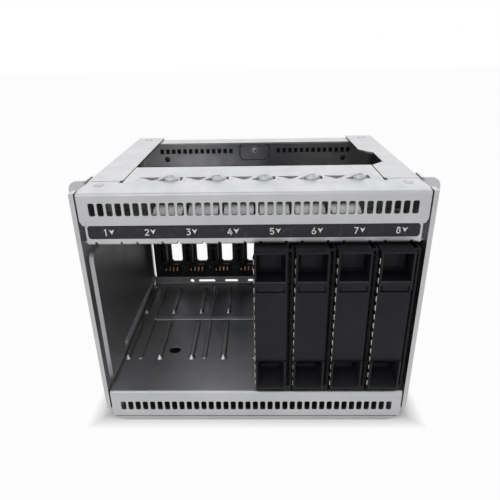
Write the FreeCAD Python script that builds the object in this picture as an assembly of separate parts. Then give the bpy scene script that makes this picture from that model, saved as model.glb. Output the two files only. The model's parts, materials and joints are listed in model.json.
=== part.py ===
import FreeCAD, Part
import math
import os

from FreeCAD import Vector

# Hot swap drive cage: a folded sheet-steel cage for eight 2.5 inch drives with a backplane at
# its rear and four bay blanks in bays 5 to 8.  Millimetres.  X runs across the bays, Y runs
# from the front into the cage and Z is up.  Everything is drawn with the front face at Y = 0
# and moved at the end, so that the origin is under the middle of the whole part.

# ---- Sheet and folds
sheet = 1.0
bend_inside = 0.5
corner_trim = (1.1, 2.0)

# ---- Bays
bay_count = 8
bay_pitch = 17.5
bay_height = 78.8
first_blank_bay = 5

# ---- Heights of the front, from the foot lip up
foot_lip_height = 2.6
lower_band_height = 15.2
rail_height = 9.0
rail_gap = 0.3
upper_band_height = 13.9

# ---- Depths from the front face
cage_depth = 118.1
board_bay_depth = 5.6
top_plate_depth = 18.2
tongue_depth = 44.0
tongue_lip = 6.0
tongue_relief_width = 1.6
tongue_relief_reach = (2.4, 1.8)
guide_plate_depth = 44.0

# ---- Half widths
wall_inside = 72.8
band_half = 72.1
tongue_half = 57.0
rail_half = 70.5
foot_lip_half = 66.0
foot_line_height = 0.45
foot_line_depth = 0.5

# ---- Vents
front_vent_count = 37
front_vent_pitch = 3.68
front_vent_width = 2.6
upper_vent_height = 5.6
upper_vent_above_band = 7.0
lower_vent_height = 5.1
lower_vent_above_band = 6.45
front_vent_corner = 0.5

# ---- Spring fingers lanced from the top plate
finger_count = 5
finger_pitch = 20.7
finger_length = 18.6
finger_width = 4.2
finger_middle_y = 21.4
finger_row_shift = -0.4
finger_rise = 2.2
finger_dip = 1.0
finger_gap = 0.6
finger_thickness = 0.8

# ---- Side walls
hem_depth = 5.0
hem_foot = 7.2
flange_gap = 0.5
bottom_flange_width = 12.0
bottom_flange_front = 12.0
joggle_width = 13.0
emboss_height = 1.4
emboss_slope = 1.6
emboss_front = 6.0
emboss_rear_margin = 8.0
emboss_bottom_above_floor = 1.6
emboss_top_below_rail = 5.8
emboss_corner = 5.0
emboss_corner_facets = 4
relief_front = 49.0
relief_rear = 78.0
relief_width = 6.5
wall_rib_above_floor = 7.0
wall_rib_front = 32.0
wall_rib_rear = 110.0
wall_rib_half = 1.4
wall_rib_height = 0.7

# ---- Ears outside the walls
ear_front = 19.0
ear_leg = 9.0
ear_reach = 7.5
ear_foot = 7.2
ear_corner = 4.0

# ---- Floor
floor_flange_drop = 9.0
floor_flange_front = 8.0
floor_rear_lip = 5.3
guide_rib_half = 1.55
guide_rib_top_half = 0.95
guide_rib_height = 1.3
front_rib_start = 26.0
front_rib_end = 62.0
rear_rib_start = 72.5
rear_rib_end = 105.5
bead_half = 1.3
bead_height = 0.5
cross_bead_y = 66.0
bead_inner_x = 28.0
bead_outer_x = 63.0
bead_start = 26.0
bead_rear_gap = 4.0
floor_hole_x = -45.1
floor_hole_y = 34.2
floor_hole_radius = 3.15
lip_slot_count = 5
lip_slot_long = 12.1
lip_slot_short = 9.6
lip_slot_height = 2.0
lip_hole_x = 45.5
lip_hole_radius = 1.25

# ---- Label rail and guide plate
rail_setback = 0.8
label_thickness = 0.25
label_height = 5.9
label_half = 69.5
label_corner = 0.9
strike_width = 9.8
strike_relief = 1.0
strike_relief_height = 1.6
guide_rear_flange = 9.2
top_rib_start = 20.0
top_rib_end = 41.0
top_groove_half = 1.0
top_groove_floor_half = 0.5

# ---- Rear crossmember
cross_flange = 13.0
cross_drop = 24.2
rear_vent_count = 13
rear_vent_width = 2.4
rear_vent_height = 3.0
rear_vent_first = 15.2
rear_vent_below_top = 8.6
pad_half = 9.8
pad_drop = 14.7
pad_rise = 0.8
pad_corner = 2.0
pad_hole_below_top = 7.6
pad_hole_radius = 1.6
dimple_x = 56.3
dimple_below_top = 13.6
dimple_radius = 1.2
screen_half = 61.0
screen_height = 9.0
screen_thickness = 0.5

# ---- Backplane
board_thickness = 1.6
board_half = 71.0
board_bottom_above_floor = 2.7
board_top_above_rail = 4.0
window_start = 11.5
window_end = 1.2
window_corner = 1.2
window_above_floor = 17.2
window_below_top = 7.0
board_edge_margin = 2.0
drive_socket_from_edge = 6.35
drive_socket_width = 6.0
drive_socket_depth = 7.0
drive_socket_height = 34.0
drive_socket_above_floor = 18.0
drive_slot_width = 2.2
drive_slot_margin = 2.0
drive_slot_depth = 5.0
contact_from_edge = 11.2
contact_width = 11.0
contact_height = 7.8
contact_depth = 3.0
contact_above_floor = 8.2
contact_pin_count = 4
contact_pin_pitch = 2.6
contact_pin_width = 0.8
contact_pin_reach = 1.9
port_width = 24.0
port_height = 9.0
port_depth = 7.0
port_wall = 0.8
port_x = 34.0
port_above_bottom = 6.6
power_width = 21.0
power_height = 9.6
power_depth = 6.0
power_pin_count = 5
power_well = 2.9

# ---- Standoffs behind the board
standoff_xs = (-63.5, -21.0, 21.0, 63.5)
standoff_below_top = 3.4
standoff_radius = 2.6

# ---- Bay blanks
blank_reach = 6.5
blank_gap = 0.7
blank_face_width = 14.15
blank_bottom_gap = 1.1
blank_top_gap = 0.7
blank_wall = 0.9
blank_back_wall = 1.2
blank_bezel_depth = 12.0
blank_rear_gap = 8.5
blank_chin_height = 6.0
blank_chin_depth = 7.0
blank_panel_setback = 0.8
blank_panel_thickness = 1.6
blank_edge_ease = 0.35
blank_groove_height = 1.1
blank_groove_depth = 0.9
blank_tick_height = 2.2
blank_tick_width = 1.0
blank_ledge_height = 4.6
blank_top_pocket = 12.6
blank_top_wall = 0.9
blank_low_pocket = 14.7
blank_low_wall = 1.2
blank_pocket_depth = 9.5
low_pocket_taper = (3.0, 5.0)
low_pocket_lift = 2.0
blank_vent_setback = 3.0
blank_vent_thickness = 1.2
blank_vent_count = 12
blank_vent_slot = 1.3
blank_guard_thickness = 0.8
blank_frame_wall = 1.2
blank_frame_inset = 1.7
blank_frame_width = 13.2
blank_run_gap = 0.3
blank_window_count = 5
blank_window_margin = 9.0
blank_window_start = 15.0
blank_web = 4.2

# ---- Blank latch and ground spring
latch_width = 7.6
latch_thickness = 1.2
latch_pivot_y = 24.0
latch_pivot_below_top = 3.2
latch_pin_radius = 1.0
latch_pin_clearance = 0.05
latch_plate_width = 9.6
latch_plate_gap = 1.2
latch_plate_low = 3.2
latch_plate_below_top = 1.4
hook_front = 4.6
hook_depth = 2.4
hook_width = 5.6
hook_gap = 0.4
hook_window_gap = 0.7
spring_thickness = 0.25
spring_setback = 0.7
spring_depth = 7.6
spring_margin = 2.4
spring_chin_gap = 1.0
spring_finger_count = 15
spring_finger_length = 2.7
spring_finger_rise = 0.5

# ---- Places worked out from the sizes above
floor_depth = cage_depth - board_bay_depth
floor_top = foot_lip_height + lower_band_height
rail_bottom = floor_top + bay_height
rail_top = rail_bottom + rail_height
upper_band_bottom = rail_top + rail_gap
cage_height = upper_band_bottom + upper_band_height
wall_outside = wall_inside + sheet
bays_half = bay_count * bay_pitch / 2
board_front = floor_depth + sheet
board_rear = board_front + board_thickness
blank_height = bay_height - blank_bottom_gap - blank_top_gap
blank_length = board_front - drive_socket_depth - blank_rear_gap
board_bottom = floor_top + board_bottom_above_floor
board_top = rail_bottom + board_top_above_rail
cross_bottom = cage_height - cross_drop
flange_under = cage_height - 2 * sheet
front_most = -blank_reach
rear_most = board_rear + port_depth
ear_outside = wall_outside + sheet + ear_reach


def block(x, y, z):
    """A box from three (low, high) pairs."""
    return Part.makeBox(x[1] - x[0], y[1] - y[0], z[1] - z[0], Vector(x[0], y[0], z[0]))


def around(middle, half):
    """The (low, high) pair that lies half to each side of a middle."""
    return middle - half, middle + half


def fuse(shapes):
    """One solid from touching shapes, with the seams between flush faces taken out."""
    shapes = list(shapes)
    return shapes[0].multiFuse(shapes[1:]).removeSplitter() if len(shapes) > 1 else shapes[0]


def rod(radius, start, end):
    """A round bar between two points."""
    along = end - start
    return Part.makeCylinder(radius, along.Length, start, along)


def eased_loop(width, height, corner, place, facets=1):
    """A rectangle whose corners are eased by a few facets of a quarter circle.

    place turns a flat (u, v) point into a Vector; one facet makes a plain clipped corner.
    """
    radius = min(corner, width * 0.45, height * 0.45)
    points = []
    for quarter in range(4):
        turn = quarter * math.pi / 2
        side_u = 1 if quarter in (0, 3) else -1
        side_v = 1 if quarter in (0, 1) else -1
        for step in range(facets + 1):
            angle = turn + step * math.pi / 2 / facets
            u = side_u * (width / 2 - radius) + radius * math.cos(angle)
            v = side_v * (height / 2 - radius) + radius * math.sin(angle)
            points.append(place(u, v))
    return Part.makePolygon(points + [points[0]])


def through_y(middle, width, height, corner, y):
    """A bar with clipped corners that runs along Y."""
    def place(u, v):
        return Vector(middle[0] + u, y[0], middle[1] + v)
    return Part.Face(eased_loop(width, height, corner, place)).extrude(Vector(0, y[1] - y[0], 0))


def through_x(middle, width, height, corner, x):
    """A bar with clipped corners that runs along X; its middle is a (y, z) pair."""
    def place(u, v):
        return Vector(x[0], middle[0] + u, middle[1] + v)
    return Part.Face(eased_loop(width, height, corner, place)).extrude(Vector(x[1] - x[0], 0, 0))


def pressed(foot_place, top_place, foot_size, top_size, corners, facets=1):
    """A pressed form: a rectangle with eased corners that tapers from its foot to its top."""
    foot = eased_loop(foot_size[0], foot_size[1], corners[0], foot_place, facets)
    top = eased_loop(top_size[0], top_size[1], corners[1], top_place, facets)
    return Part.makeLoft([foot, top], True, True)


def floor_bead(middle, size, top_narrower, z, rise):
    """A long rounded bead that stands up (or hangs, with a negative rise) from a level sheet."""
    def foot(u, v):
        return Vector(middle[0] + u, middle[1] + v, z)

    def top(u, v):
        return Vector(middle[0] + u, middle[1] + v, z + rise)
    narrow = (size[0] - 2 * top_narrower, size[1] - 2 * top_narrower)
    return pressed(foot, top, size, narrow, (0.6 * min(size) / 2, 0.6 * min(narrow) / 2))


def folded(path, place, along):
    """A folded sheet: its middle line is a flat path, rounded at each fold, pushed along a vector.

    place turns a flat (u, v) point of the path into a Vector.
    """
    points = [Vector(u, v, 0) for u, v in path]
    middle_radius = bend_inside + sheet / 2
    rails = {1: [], -1: []}
    ends = {}
    for index, point in enumerate(points):
        before = (point - points[index - 1]).normalize() if index else None
        after = (points[index + 1] - point).normalize() if index + 1 < len(points) else None
        for side in rails:
            if before is None or after is None:
                heading = after or before
                ends[index, side] = point + Vector(-heading.y, heading.x, 0) * (side * sheet / 2)
                continue
            turn = math.atan2(before.x * after.y - before.y * after.x, before.dot(after))
            back = middle_radius * math.tan(abs(turn) / 2)
            left = Vector(-before.y, before.x, 0)
            centre = point - before * back + left * math.copysign(middle_radius, turn)
            radius = middle_radius - math.copysign(1, turn) * side * sheet / 2
            start = point - before * back + left * (side * sheet / 2)
            end = point + after * back + Vector(-after.y, after.x, 0) * (side * sheet / 2)
            bulge = ((start - centre) + (end - centre)).normalize() * radius
            rails[side].append((start, centre + bulge, end))
    edges = []

    def seat(flat):
        return place(flat.x, flat.y)

    for side in (1, -1):
        here = ends[0, side]
        for start, bulge, end in rails[side]:
            edges.append(Part.LineSegment(seat(here), seat(start)).toShape())
            edges.append(Part.Arc(seat(start), seat(bulge), seat(end)).toShape())
            here = end
        edges.append(Part.LineSegment(seat(here), seat(ends[len(points) - 1, side])).toShape())
    for index in (0, len(points) - 1):
        edges.append(Part.LineSegment(seat(ends[index, 1]), seat(ends[index, -1])).toShape())
    wire = Part.Wire(Part.__sortEdges__(edges))
    return Part.Face(wire).extrude(along)


def across(path, half):
    """A sheet folded from a path of (y, z) points and made as wide as twice half."""
    return folded(path, lambda y, z: Vector(-half, y, z), Vector(2 * half, 0, 0))


def mirrored(shape):
    """The same shape on the other side of the cage."""
    return shape.mirror(Vector(0, 0, 0), Vector(1, 0, 0))


def row(count, pitch, middle=0.0):
    """The middles of a row of equal steps."""
    return [middle + (index - (count - 1) / 2) * pitch for index in range(count)]


def bay_left(bay):
    """The X of the left edge of a bay; bays count from 1 at the left."""
    return -bays_half + (bay - 1) * bay_pitch


def bay_edges():
    """The X of each line between bays, with the two outer ones."""
    return [-bays_half + index * bay_pitch for index in range(bay_count + 1)]


def front_vents(height_above, height, y):
    """The row of upright rounded vents in a front band."""
    return [through_y((x, height_above), front_vent_width, height, front_vent_corner, y)
            for x in row(front_vent_count, front_vent_pitch)]


def spring_finger(left):
    """One wavy finger: it dips from its root, then rises to a crest and ends free."""
    top = cage_height
    knots = ((0.0, 0.0), (0.15, -0.35 * finger_dip), (0.3, -finger_dip), (0.42, -0.6 * finger_dip),
             (0.6, 0.35 * finger_rise), (0.72, 0.85 * finger_rise), (0.8, finger_rise),
             (0.86, 0.95 * finger_rise), (0.93, 0.4 * finger_rise), (1.0, -0.2 * finger_dip))
    upper = [Vector(left + share * finger_length, 0, top + rise) for share, rise in knots]
    lower = [point - Vector(0, 0, finger_thickness) for point in reversed(upper)]
    face = Part.Face(Part.makePolygon(upper + lower + [upper[0]]))
    face.translate(Vector(0, finger_middle_y - finger_width / 2, 0))
    return face.extrude(Vector(0, finger_width, 0))


def tongue_relief():
    """The slot that frees the right corner between the tongue and the top flange."""
    x = around(tongue_half + flange_gap, tongue_relief_width / 2)
    y = (top_plate_depth - tongue_relief_reach[0], top_plate_depth + tongue_relief_reach[1])
    return block(x, y, (cage_height - 3 * sheet, cage_height + sheet))


def upper_front_panel():
    """Front band, top plate with its tongue, rear lip and the five spring fingers."""
    middle = sheet / 2
    top = cage_height - middle
    rear = tongue_depth - middle
    path = [(middle, upper_band_bottom), (middle, top), (rear, top), (rear, cage_height - tongue_lip)]
    panel = across(path, band_half)
    for side in (-1, 1):
        x = (tongue_half, band_half + 1)
        y = (top_plate_depth, tongue_depth + 1)
        beside = block(x, y, (upper_band_bottom, cage_height + 1))
        panel = panel.cut(beside if side > 0 else mirrored(beside))
        panel = panel.cut(tongue_relief() if side > 0 else mirrored(tongue_relief()))
    cuts = front_vents(upper_band_bottom + upper_vent_above_band, upper_vent_height, (-1, 2))
    fingers = []
    for x in row(finger_count, finger_pitch, finger_row_shift):
        left = x - finger_length / 2
        window_x = (left, left + finger_length + 2 * finger_gap)
        window_y = around(finger_middle_y, finger_width / 2 + finger_gap)
        cuts.append(block(window_x, window_y, (cage_height - 3 * sheet, cage_height + sheet)))
        root_y = around(finger_middle_y, finger_width / 2)
        root = block((left - 0.6, left + 0.4), root_y, (cage_height - finger_thickness, cage_height))
        fingers.append(root)
        fingers.append(spring_finger(left))
    panel = panel.cut(Part.makeCompound(cuts))
    trims = []
    for side in (-1, 1):
        corner = Vector(side * band_half, -1, upper_band_bottom)
        loop = [corner, corner - Vector(side * corner_trim[0], 0, 0), corner + Vector(0, 0, corner_trim[1])]
        trims.append(Part.Face(Part.makePolygon(loop + [corner])).extrude(Vector(0, 4, 0)))
    return fuse([panel.cut(Part.makeCompound(trims))] + fingers)


def upper_guide():
    """The label rail with the guide plate and ribs behind it that hold the drives down."""
    middle = sheet / 2
    front = rail_setback + middle
    level = rail_bottom + middle
    rear = guide_plate_depth - middle
    path = [(front, rail_top), (front, level), (rear, level), (rear, rail_bottom + guide_rear_flange)]
    guide = across(path, rail_half)
    edge_y = (rail_setback + 3 * sheet, guide_plate_depth - 2 * sheet)
    guide = guide.fuse(block((-wall_inside, wall_inside), edge_y, (rail_bottom, rail_bottom + sheet)))
    reliefs = []
    for bay in range(1, bay_count + 1):
        centre = bay_left(bay) + bay_pitch / 2
        for side in (-1, 1):
            x = around(centre + side * (strike_width + strike_relief) / 2, strike_relief / 2)
            z = (rail_bottom - 1, rail_bottom + strike_relief_height)
            reliefs.append(block(x, (rail_setback - 1, rail_setback + 3 * sheet), z))
    ribs = []
    grooves = []
    rib_middle = (top_rib_start + top_rib_end) / 2
    size = (2 * guide_rib_half, top_rib_end - top_rib_start)
    narrower = guide_rib_half - guide_rib_top_half
    groove_size = (2 * top_groove_half, size[1] - 2 * (guide_rib_half - top_groove_half))
    groove_narrower = top_groove_half - top_groove_floor_half
    top = rail_bottom + sheet
    for x in bay_edges():
        middle = (x, rib_middle)
        ribs.append(floor_bead(middle, size, narrower, rail_bottom, -guide_rib_height))
        grooves.append(floor_bead(middle, groove_size, groove_narrower, top, -guide_rib_height))
    guide = fuse([guide.cut(Part.makeCompound(reliefs))] + ribs)
    return guide.cut(Part.makeCompound(grooves))


def number_label():
    """The black strip stuck to the rail; the bay numbers are printed on it."""
    middle_z = rail_top - label_height / 2
    y = (rail_setback - label_thickness, rail_setback)
    return through_y((0, middle_z), 2 * label_half, label_height, label_corner, y)


def wall_emboss(height, grow):
    """The large panel pressed into a wall, seen from outside; grow makes it the inner face."""
    low = floor_top + emboss_bottom_above_floor
    high = rail_bottom - emboss_top_below_rail
    front, rear = emboss_front, cage_depth - emboss_rear_margin
    middle = ((front + rear) / 2, (low + high) / 2)
    foot_size = (rear - front + 2 * grow, high - low + 2 * grow)
    top_size = (foot_size[0] - 2 * emboss_slope, foot_size[1] - 2 * emboss_slope)
    foot_x = wall_inside + (0 if grow else sheet)

    def foot(u, v):
        return Vector(foot_x, middle[0] + u, middle[1] + v)

    def top(u, v):
        return Vector(foot_x - height, middle[0] + u, middle[1] + v)
    corners = (emboss_corner, emboss_corner - emboss_slope)
    return pressed(foot, top, foot_size, top_size, corners, emboss_corner_facets)


def side_wall(relieved):
    """The right wall: hem, top and bottom flanges, pressed panel and rib.

    relieved cuts the cable recess into the top flange.
    """
    middle = sheet / 2
    flange_edge = tongue_half + flange_gap
    side = wall_inside + middle
    path = [(flange_edge, cage_height - middle), (side, cage_height - middle),
            (side, middle), (wall_inside - bottom_flange_width, middle)]
    start = top_plate_depth + flange_gap

    def place(x, z):
        return Vector(x, start, z)
    wall = folded(path, place, Vector(0, cage_depth - start, 0))
    front = block((wall_inside, wall_outside), (0, start + 2), (hem_foot, cage_height - 2 * sheet))
    hem = block((wall_inside, wall_outside + sheet), (0, hem_depth), (hem_foot, cage_height))
    joggle_y = (2 * sheet, start + sheet)
    joggle_x = (wall_inside - joggle_width, wall_outside)
    joggle = block(joggle_x, joggle_y, (flange_under, cage_height - sheet))
    wall = fuse([wall, front, hem, joggle])
    outside = wall_emboss(emboss_height, 0)
    inside = wall_emboss(emboss_height, sheet)
    wall = wall.fuse(inside).cut(outside)
    rib_middle = (wall_rib_front + wall_rib_rear) / 2
    rib_face = wall_inside - emboss_height
    rib_size = (wall_rib_rear - wall_rib_front, 2 * wall_rib_half)
    rib_z = floor_top + wall_rib_above_floor

    def foot(u, v):
        return Vector(rib_face, rib_middle + u, rib_z + v)

    def top(u, v):
        return Vector(rib_face - wall_rib_height, rib_middle + u, rib_z + v)
    narrow = (rib_size[0] - 1, rib_size[1] - 1)
    rib = pressed(foot, top, rib_size, narrow, (wall_rib_half, wall_rib_half - 0.5))
    wall = fuse([wall, rib])
    cuts = [block((0, wall_outside + 3 * sheet), (-1, bottom_flange_front), (-1, hem_foot))]
    cuts.append(tongue_relief())
    if relieved:
        cuts.append(flange_recess(flange_edge))
    return wall.cut(Part.makeCompound(cuts))


def flange_recess(edge):
    """The cable recess in the right top flange, with a sloping S-shaped rear end."""
    z = cage_height - 3 * sheet
    deep = edge + relief_width
    slope = (relief_rear - relief_front) * 0.28
    points = [Vector(edge - 1, relief_front - relief_width, z), Vector(edge, relief_front - relief_width, z),
              Vector(deep, relief_front, z), Vector(deep, relief_rear - slope, z),
              Vector(edge + 0.55 * relief_width, relief_rear - 0.7 * slope, z),
              Vector(edge, relief_rear, z), Vector(edge - 1, relief_rear, z)]
    face = Part.Face(Part.makePolygon(points + [points[0]]))
    return face.extrude(Vector(0, 0, 5 * sheet))


def ear():
    """The right mounting ear: a leg spot welded to the wall and a flange that faces the front."""
    middle = sheet / 2
    path = [(ear_outside, ear_front + middle), (wall_outside + middle, ear_front + middle),
            (wall_outside + middle, ear_front + ear_leg)]

    def place(x, y):
        return Vector(x, y, ear_foot)
    bracket = folded(path, place, Vector(0, 0, cage_height - ear_foot))
    edges = []
    for edge in bracket.Edges:
        centre = edge.CenterOfMass
        at_tip = abs(centre.x - ear_outside) < 0.01
        if at_tip and edge.Length < sheet * 1.01 and abs(centre.y - ear_front - middle) < 0.01:
            edges.append(edge)
    return bracket.makeFillet(ear_corner, edges)


def floor_plate():
    """Lower front band, floor with its guide ribs and beads, side flanges and rear lip."""
    middle = sheet / 2
    level = floor_top - middle
    rear = floor_depth + middle
    path = [(middle, 0), (middle, level), (rear, level), (rear, floor_top + floor_rear_lip)]
    plate = across(path, band_half)
    widen_y = (floor_flange_front, floor_depth - 2 * sheet)
    widen = block((-wall_inside, wall_inside), widen_y, (floor_top - sheet, floor_top))
    parts = [plate, widen]
    for side in (-1, 1):
        x = (wall_inside - sheet, wall_inside)
        flange = block(x, widen_y, (floor_top - floor_flange_drop, floor_top - middle))
        parts.append(flange if side > 0 else mirrored(flange))
    narrower = guide_rib_half - guide_rib_top_half
    for x in bay_edges():
        for start, end in ((front_rib_start, front_rib_end), (rear_rib_start, rear_rib_end)):
            size = (2 * guide_rib_half, end - start)
            parts.append(floor_bead((x, (start + end) / 2), size, narrower, floor_top, guide_rib_height))
    plate = fuse(parts)
    beads = []
    bead_end = floor_depth - bead_rear_gap
    for x in (-bead_outer_x, -bead_inner_x, bead_inner_x, bead_outer_x):
        size = (2 * bead_half, bead_end - bead_start)
        beads.append(floor_bead((x, (bead_start + bead_end) / 2), size, 0.5, floor_top, bead_height))
    size = (2 * (bead_outer_x + bead_half), 2 * bead_half)
    beads.append(floor_bead((0, cross_bead_y), size, 0.5, floor_top, bead_height))
    plate = plate.multiFuse(beads).removeSplitter()
    cuts = front_vents(foot_lip_height + lower_vent_above_band, lower_vent_height, (-1, 2))
    line_z = (foot_lip_height - foot_line_height, foot_lip_height)
    cuts.append(block((-band_half - 1, band_half + 1), (-1, foot_line_depth), line_z))
    for side in (-1, 1):
        z = (0.0, foot_lip_height)
        loop = [Vector(side * foot_lip_half, -1, z[0] - 1), Vector(side * foot_lip_half, -1, z[0]),
                Vector(side * band_half, -1, z[1]), Vector(side * (band_half + 1), -1, z[1]),
                Vector(side * (band_half + 1), -1, z[0] - 1)]
        cuts.append(Part.Face(Part.makePolygon(loop + [loop[0]])).extrude(Vector(0, 4, 0)))
    hole = Vector(floor_hole_x, floor_hole_y, floor_top)
    cuts.append(rod(floor_hole_radius, hole - Vector(0, 0, 3 * sheet), hole + Vector(0, 0, 3 * sheet)))
    slot_z = floor_top + floor_rear_lip - 1.6 * lip_slot_height
    y = (floor_depth - 1, floor_depth + 2 * sheet)
    for index, slot_x in enumerate(row(lip_slot_count, bay_pitch)):
        length = lip_slot_short if index % 2 else lip_slot_long
        cuts.append(through_y((slot_x, slot_z), length, lip_slot_height, lip_slot_height / 2, y))
    for side in (-1, 1):
        x = side * lip_hole_x
        cuts.append(rod(lip_hole_radius, Vector(x, y[0], slot_z), Vector(x, y[1], slot_z)))
    return plate.cut(Part.makeCompound(cuts))


def rear_crossmember():
    """The folded rail that closes the top of the rear and carries the backplane."""
    middle = sheet / 2
    rear = cage_depth - middle
    level = flange_under + middle
    path = [(rear, cross_bottom), (rear, level), (cage_depth - cross_flange, level)]
    rail = across(path, wall_inside - bend_inside)
    pad_low = cage_height - pad_drop
    pad_high = flange_under - bend_inside - sheet
    face = cage_depth - sheet

    def pad(size, start):
        pad_middle = (pad_low + pad_high) / 2

        def foot(u, v):
            return Vector(u, start, pad_middle + v)

        def top(u, v):
            return Vector(u, start - pad_rise, pad_middle + v)
        narrow = (size[0] - 2 * pad_rise, size[1] - 2 * pad_rise)
        return pressed(foot, top, size, narrow, (pad_corner, pad_corner))
    size = (2 * pad_half, pad_high - pad_low)
    rail = rail.fuse(pad(size, face))
    inner = (size[0] - sheet, size[1] - sheet)
    rail = rail.cut(pad(inner, cage_depth))
    cuts = []
    through = (face - 2 * sheet, cage_depth + sheet)
    vent_z = cage_height - rear_vent_below_top
    for side in (-1, 1):
        for index in range(rear_vent_count):
            x = side * (rear_vent_first + index * front_vent_pitch)
            cuts.append(block(around(x, rear_vent_width / 2), through,
                              around(vent_z, rear_vent_height / 2)))
        spot = Vector(side * dimple_x, through[0], cage_height - dimple_below_top)
        cuts.append(rod(dimple_radius, spot, spot + Vector(0, 4 * sheet, 0)))
    spot = Vector(0, through[0], cage_height - pad_hole_below_top)
    cuts.append(rod(pad_hole_radius, spot, spot + Vector(0, 4 * sheet, 0)))
    return rail.cut(Part.makeCompound(cuts))


def vent_screen():
    """The thin dark screen behind the vents of the crossmember."""
    y = (cage_depth, cage_depth + screen_thickness)
    z = around(cage_height - rear_vent_below_top, screen_height / 2)
    return block((-screen_half, screen_half), y, z)


def backplane_board():
    """The backplane: a board with an air window beside each drive socket."""
    board = block((-board_half, board_half), (board_front, board_rear), (board_bottom, board_top))
    cuts = []
    window_z = (floor_top + window_above_floor, board_top - window_below_top)
    y = (board_front - 1, board_rear + 1)
    for bay in range(1, bay_count + 1):
        left = bay_left(bay) + window_start
        right = min(bay_left(bay + 1) + window_end, board_half - board_edge_margin)
        middle = ((left + right) / 2, sum(window_z) / 2)
        cuts.append(through_y(middle, right - left, window_z[1] - window_z[0], window_corner, y))
    return board.cut(Part.makeCompound(cuts))


def drive_sockets():
    """One drive socket per bay: an upright block with a blade slot, on the board's front."""
    sockets = []
    low = floor_top + drive_socket_above_floor
    z = (low, low + drive_socket_height)
    y = (board_front - drive_socket_depth, board_front)
    for bay in range(1, bay_count + 1):
        x = bay_left(bay) + drive_socket_from_edge
        body = block(around(x, drive_socket_width / 2), y, z)
        slot_z = (z[0] + drive_slot_margin, z[1] - drive_slot_margin)
        slot = block(around(x, drive_slot_width / 2), (y[0] - 1, y[0] + drive_slot_depth), slot_z)
        key_z = around(z[0] + 0.36 * drive_socket_height, 0.7)
        key = block(around(x, drive_slot_width / 2), (y[0], y[0] + drive_slot_depth), key_z)
        foot_z = (z[0] - 2.0, z[1] + 2.0)
        foot = block(around(x, drive_socket_width / 2 - 1), (board_front - 2.2, board_front), foot_z)
        sockets.append(fuse([body.cut(slot), key, foot]))
    return Part.makeCompound(sockets)


def contact_z():
    """The (low, high) pair of the status contacts."""
    low = floor_top + contact_above_floor
    return low, low + contact_height


def contact_housings():
    """One small status connector per bay, under the drive socket."""
    housings = []
    y = (board_front - contact_depth, board_front)
    for bay in range(1, bay_count + 1):
        x = bay_left(bay) + contact_from_edge
        body = block(around(x, contact_width / 2), y, contact_z())
        wells = []
        for pin_x in row(contact_pin_count, contact_pin_pitch, x):
            well_z = (contact_z()[0] + 1.2, contact_z()[1] - 1.2)
            wells.append(block(around(pin_x, contact_pin_width / 2), (y[0] - 1, y[0] + 1.2), well_z))
        housings.append(body.cut(Part.makeCompound(wells)))
    return Part.makeCompound(housings)


def contact_pins():
    """The sprung contacts: each is a strip that bows forward out of its well."""
    pins = []
    seat_y = board_front - contact_depth + 1.2
    low = contact_z()[0] + 1.2
    high = contact_z()[1] - 1.2
    crest = seat_y - 1.2 - contact_pin_reach
    for bay in range(1, bay_count + 1):
        for x in row(contact_pin_count, contact_pin_pitch, bay_left(bay) + contact_from_edge):
            left = x - contact_pin_width / 2
            bow = [Vector(left, seat_y, low), Vector(left, crest, 0.65 * low + 0.35 * high),
                   Vector(left, crest, 0.35 * low + 0.65 * high), Vector(left, seat_y, high)]
            side = Part.Face(Part.makePolygon(bow + [bow[0]]))
            pins.append(side.extrude(Vector(contact_pin_width, 0, 0)))
    return Part.makeCompound(pins)


def port_frame(x, z, width, height, depth, wall):
    """An open connector shell on the back of the board."""
    outer = through_y((x, z), width, height, 1.0, (board_rear, board_rear + depth))
    hollow = (board_rear + wall, board_rear + depth + 1)
    return outer.cut(through_y((x, z), width - 2 * wall, height - 2 * wall, 0.6, hollow))


def data_ports():
    """Two data ports on the back of the board, each a shell round a tongue."""
    ports = []
    z = board_bottom + port_above_bottom
    for side in (-1, 1):
        shell = port_frame(side * port_x, z, port_width, port_height, port_depth, port_wall)
        tongue_y = (board_rear + port_wall, board_rear + port_depth - 1.5)
        tongue = block(around(side * port_x, port_width / 2 - 3), tongue_y, around(z, 0.9))
        ports.append(fuse([shell, tongue]))
    return Part.makeCompound(ports)


def power_header():
    """The power header between the data ports, with two rows of wells."""
    z = board_bottom + port_above_bottom
    body = block(around(0, power_width / 2), (board_rear, board_rear + power_depth),
                 around(z, power_height / 2))
    wells = []
    step = power_width / power_pin_count
    for x in row(power_pin_count, step):
        for lift in (-power_height / 4, power_height / 4):
            y = (board_rear + 1.0, board_rear + power_depth + 1)
            wells.append(block(around(x, power_well / 2), y, around(z + lift, power_well / 2)))
    return body.cut(Part.makeCompound(wells))


def board_standoffs():
    """The hexagon standoffs between the board and the crossmember."""
    z = board_top - standoff_below_top
    standoffs = []
    for x in standoff_xs:
        corners = [Vector(x + standoff_radius * math.cos(step * math.pi / 3), board_rear,
                          z + standoff_radius * math.sin(step * math.pi / 3)) for step in range(6)]
        hexagon = Part.Face(Part.makePolygon(corners + [corners[0]]))
        standoffs.append(hexagon.extrude(Vector(0, cage_depth - sheet - board_rear, 0)))
    return Part.makeCompound(standoffs)


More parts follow.
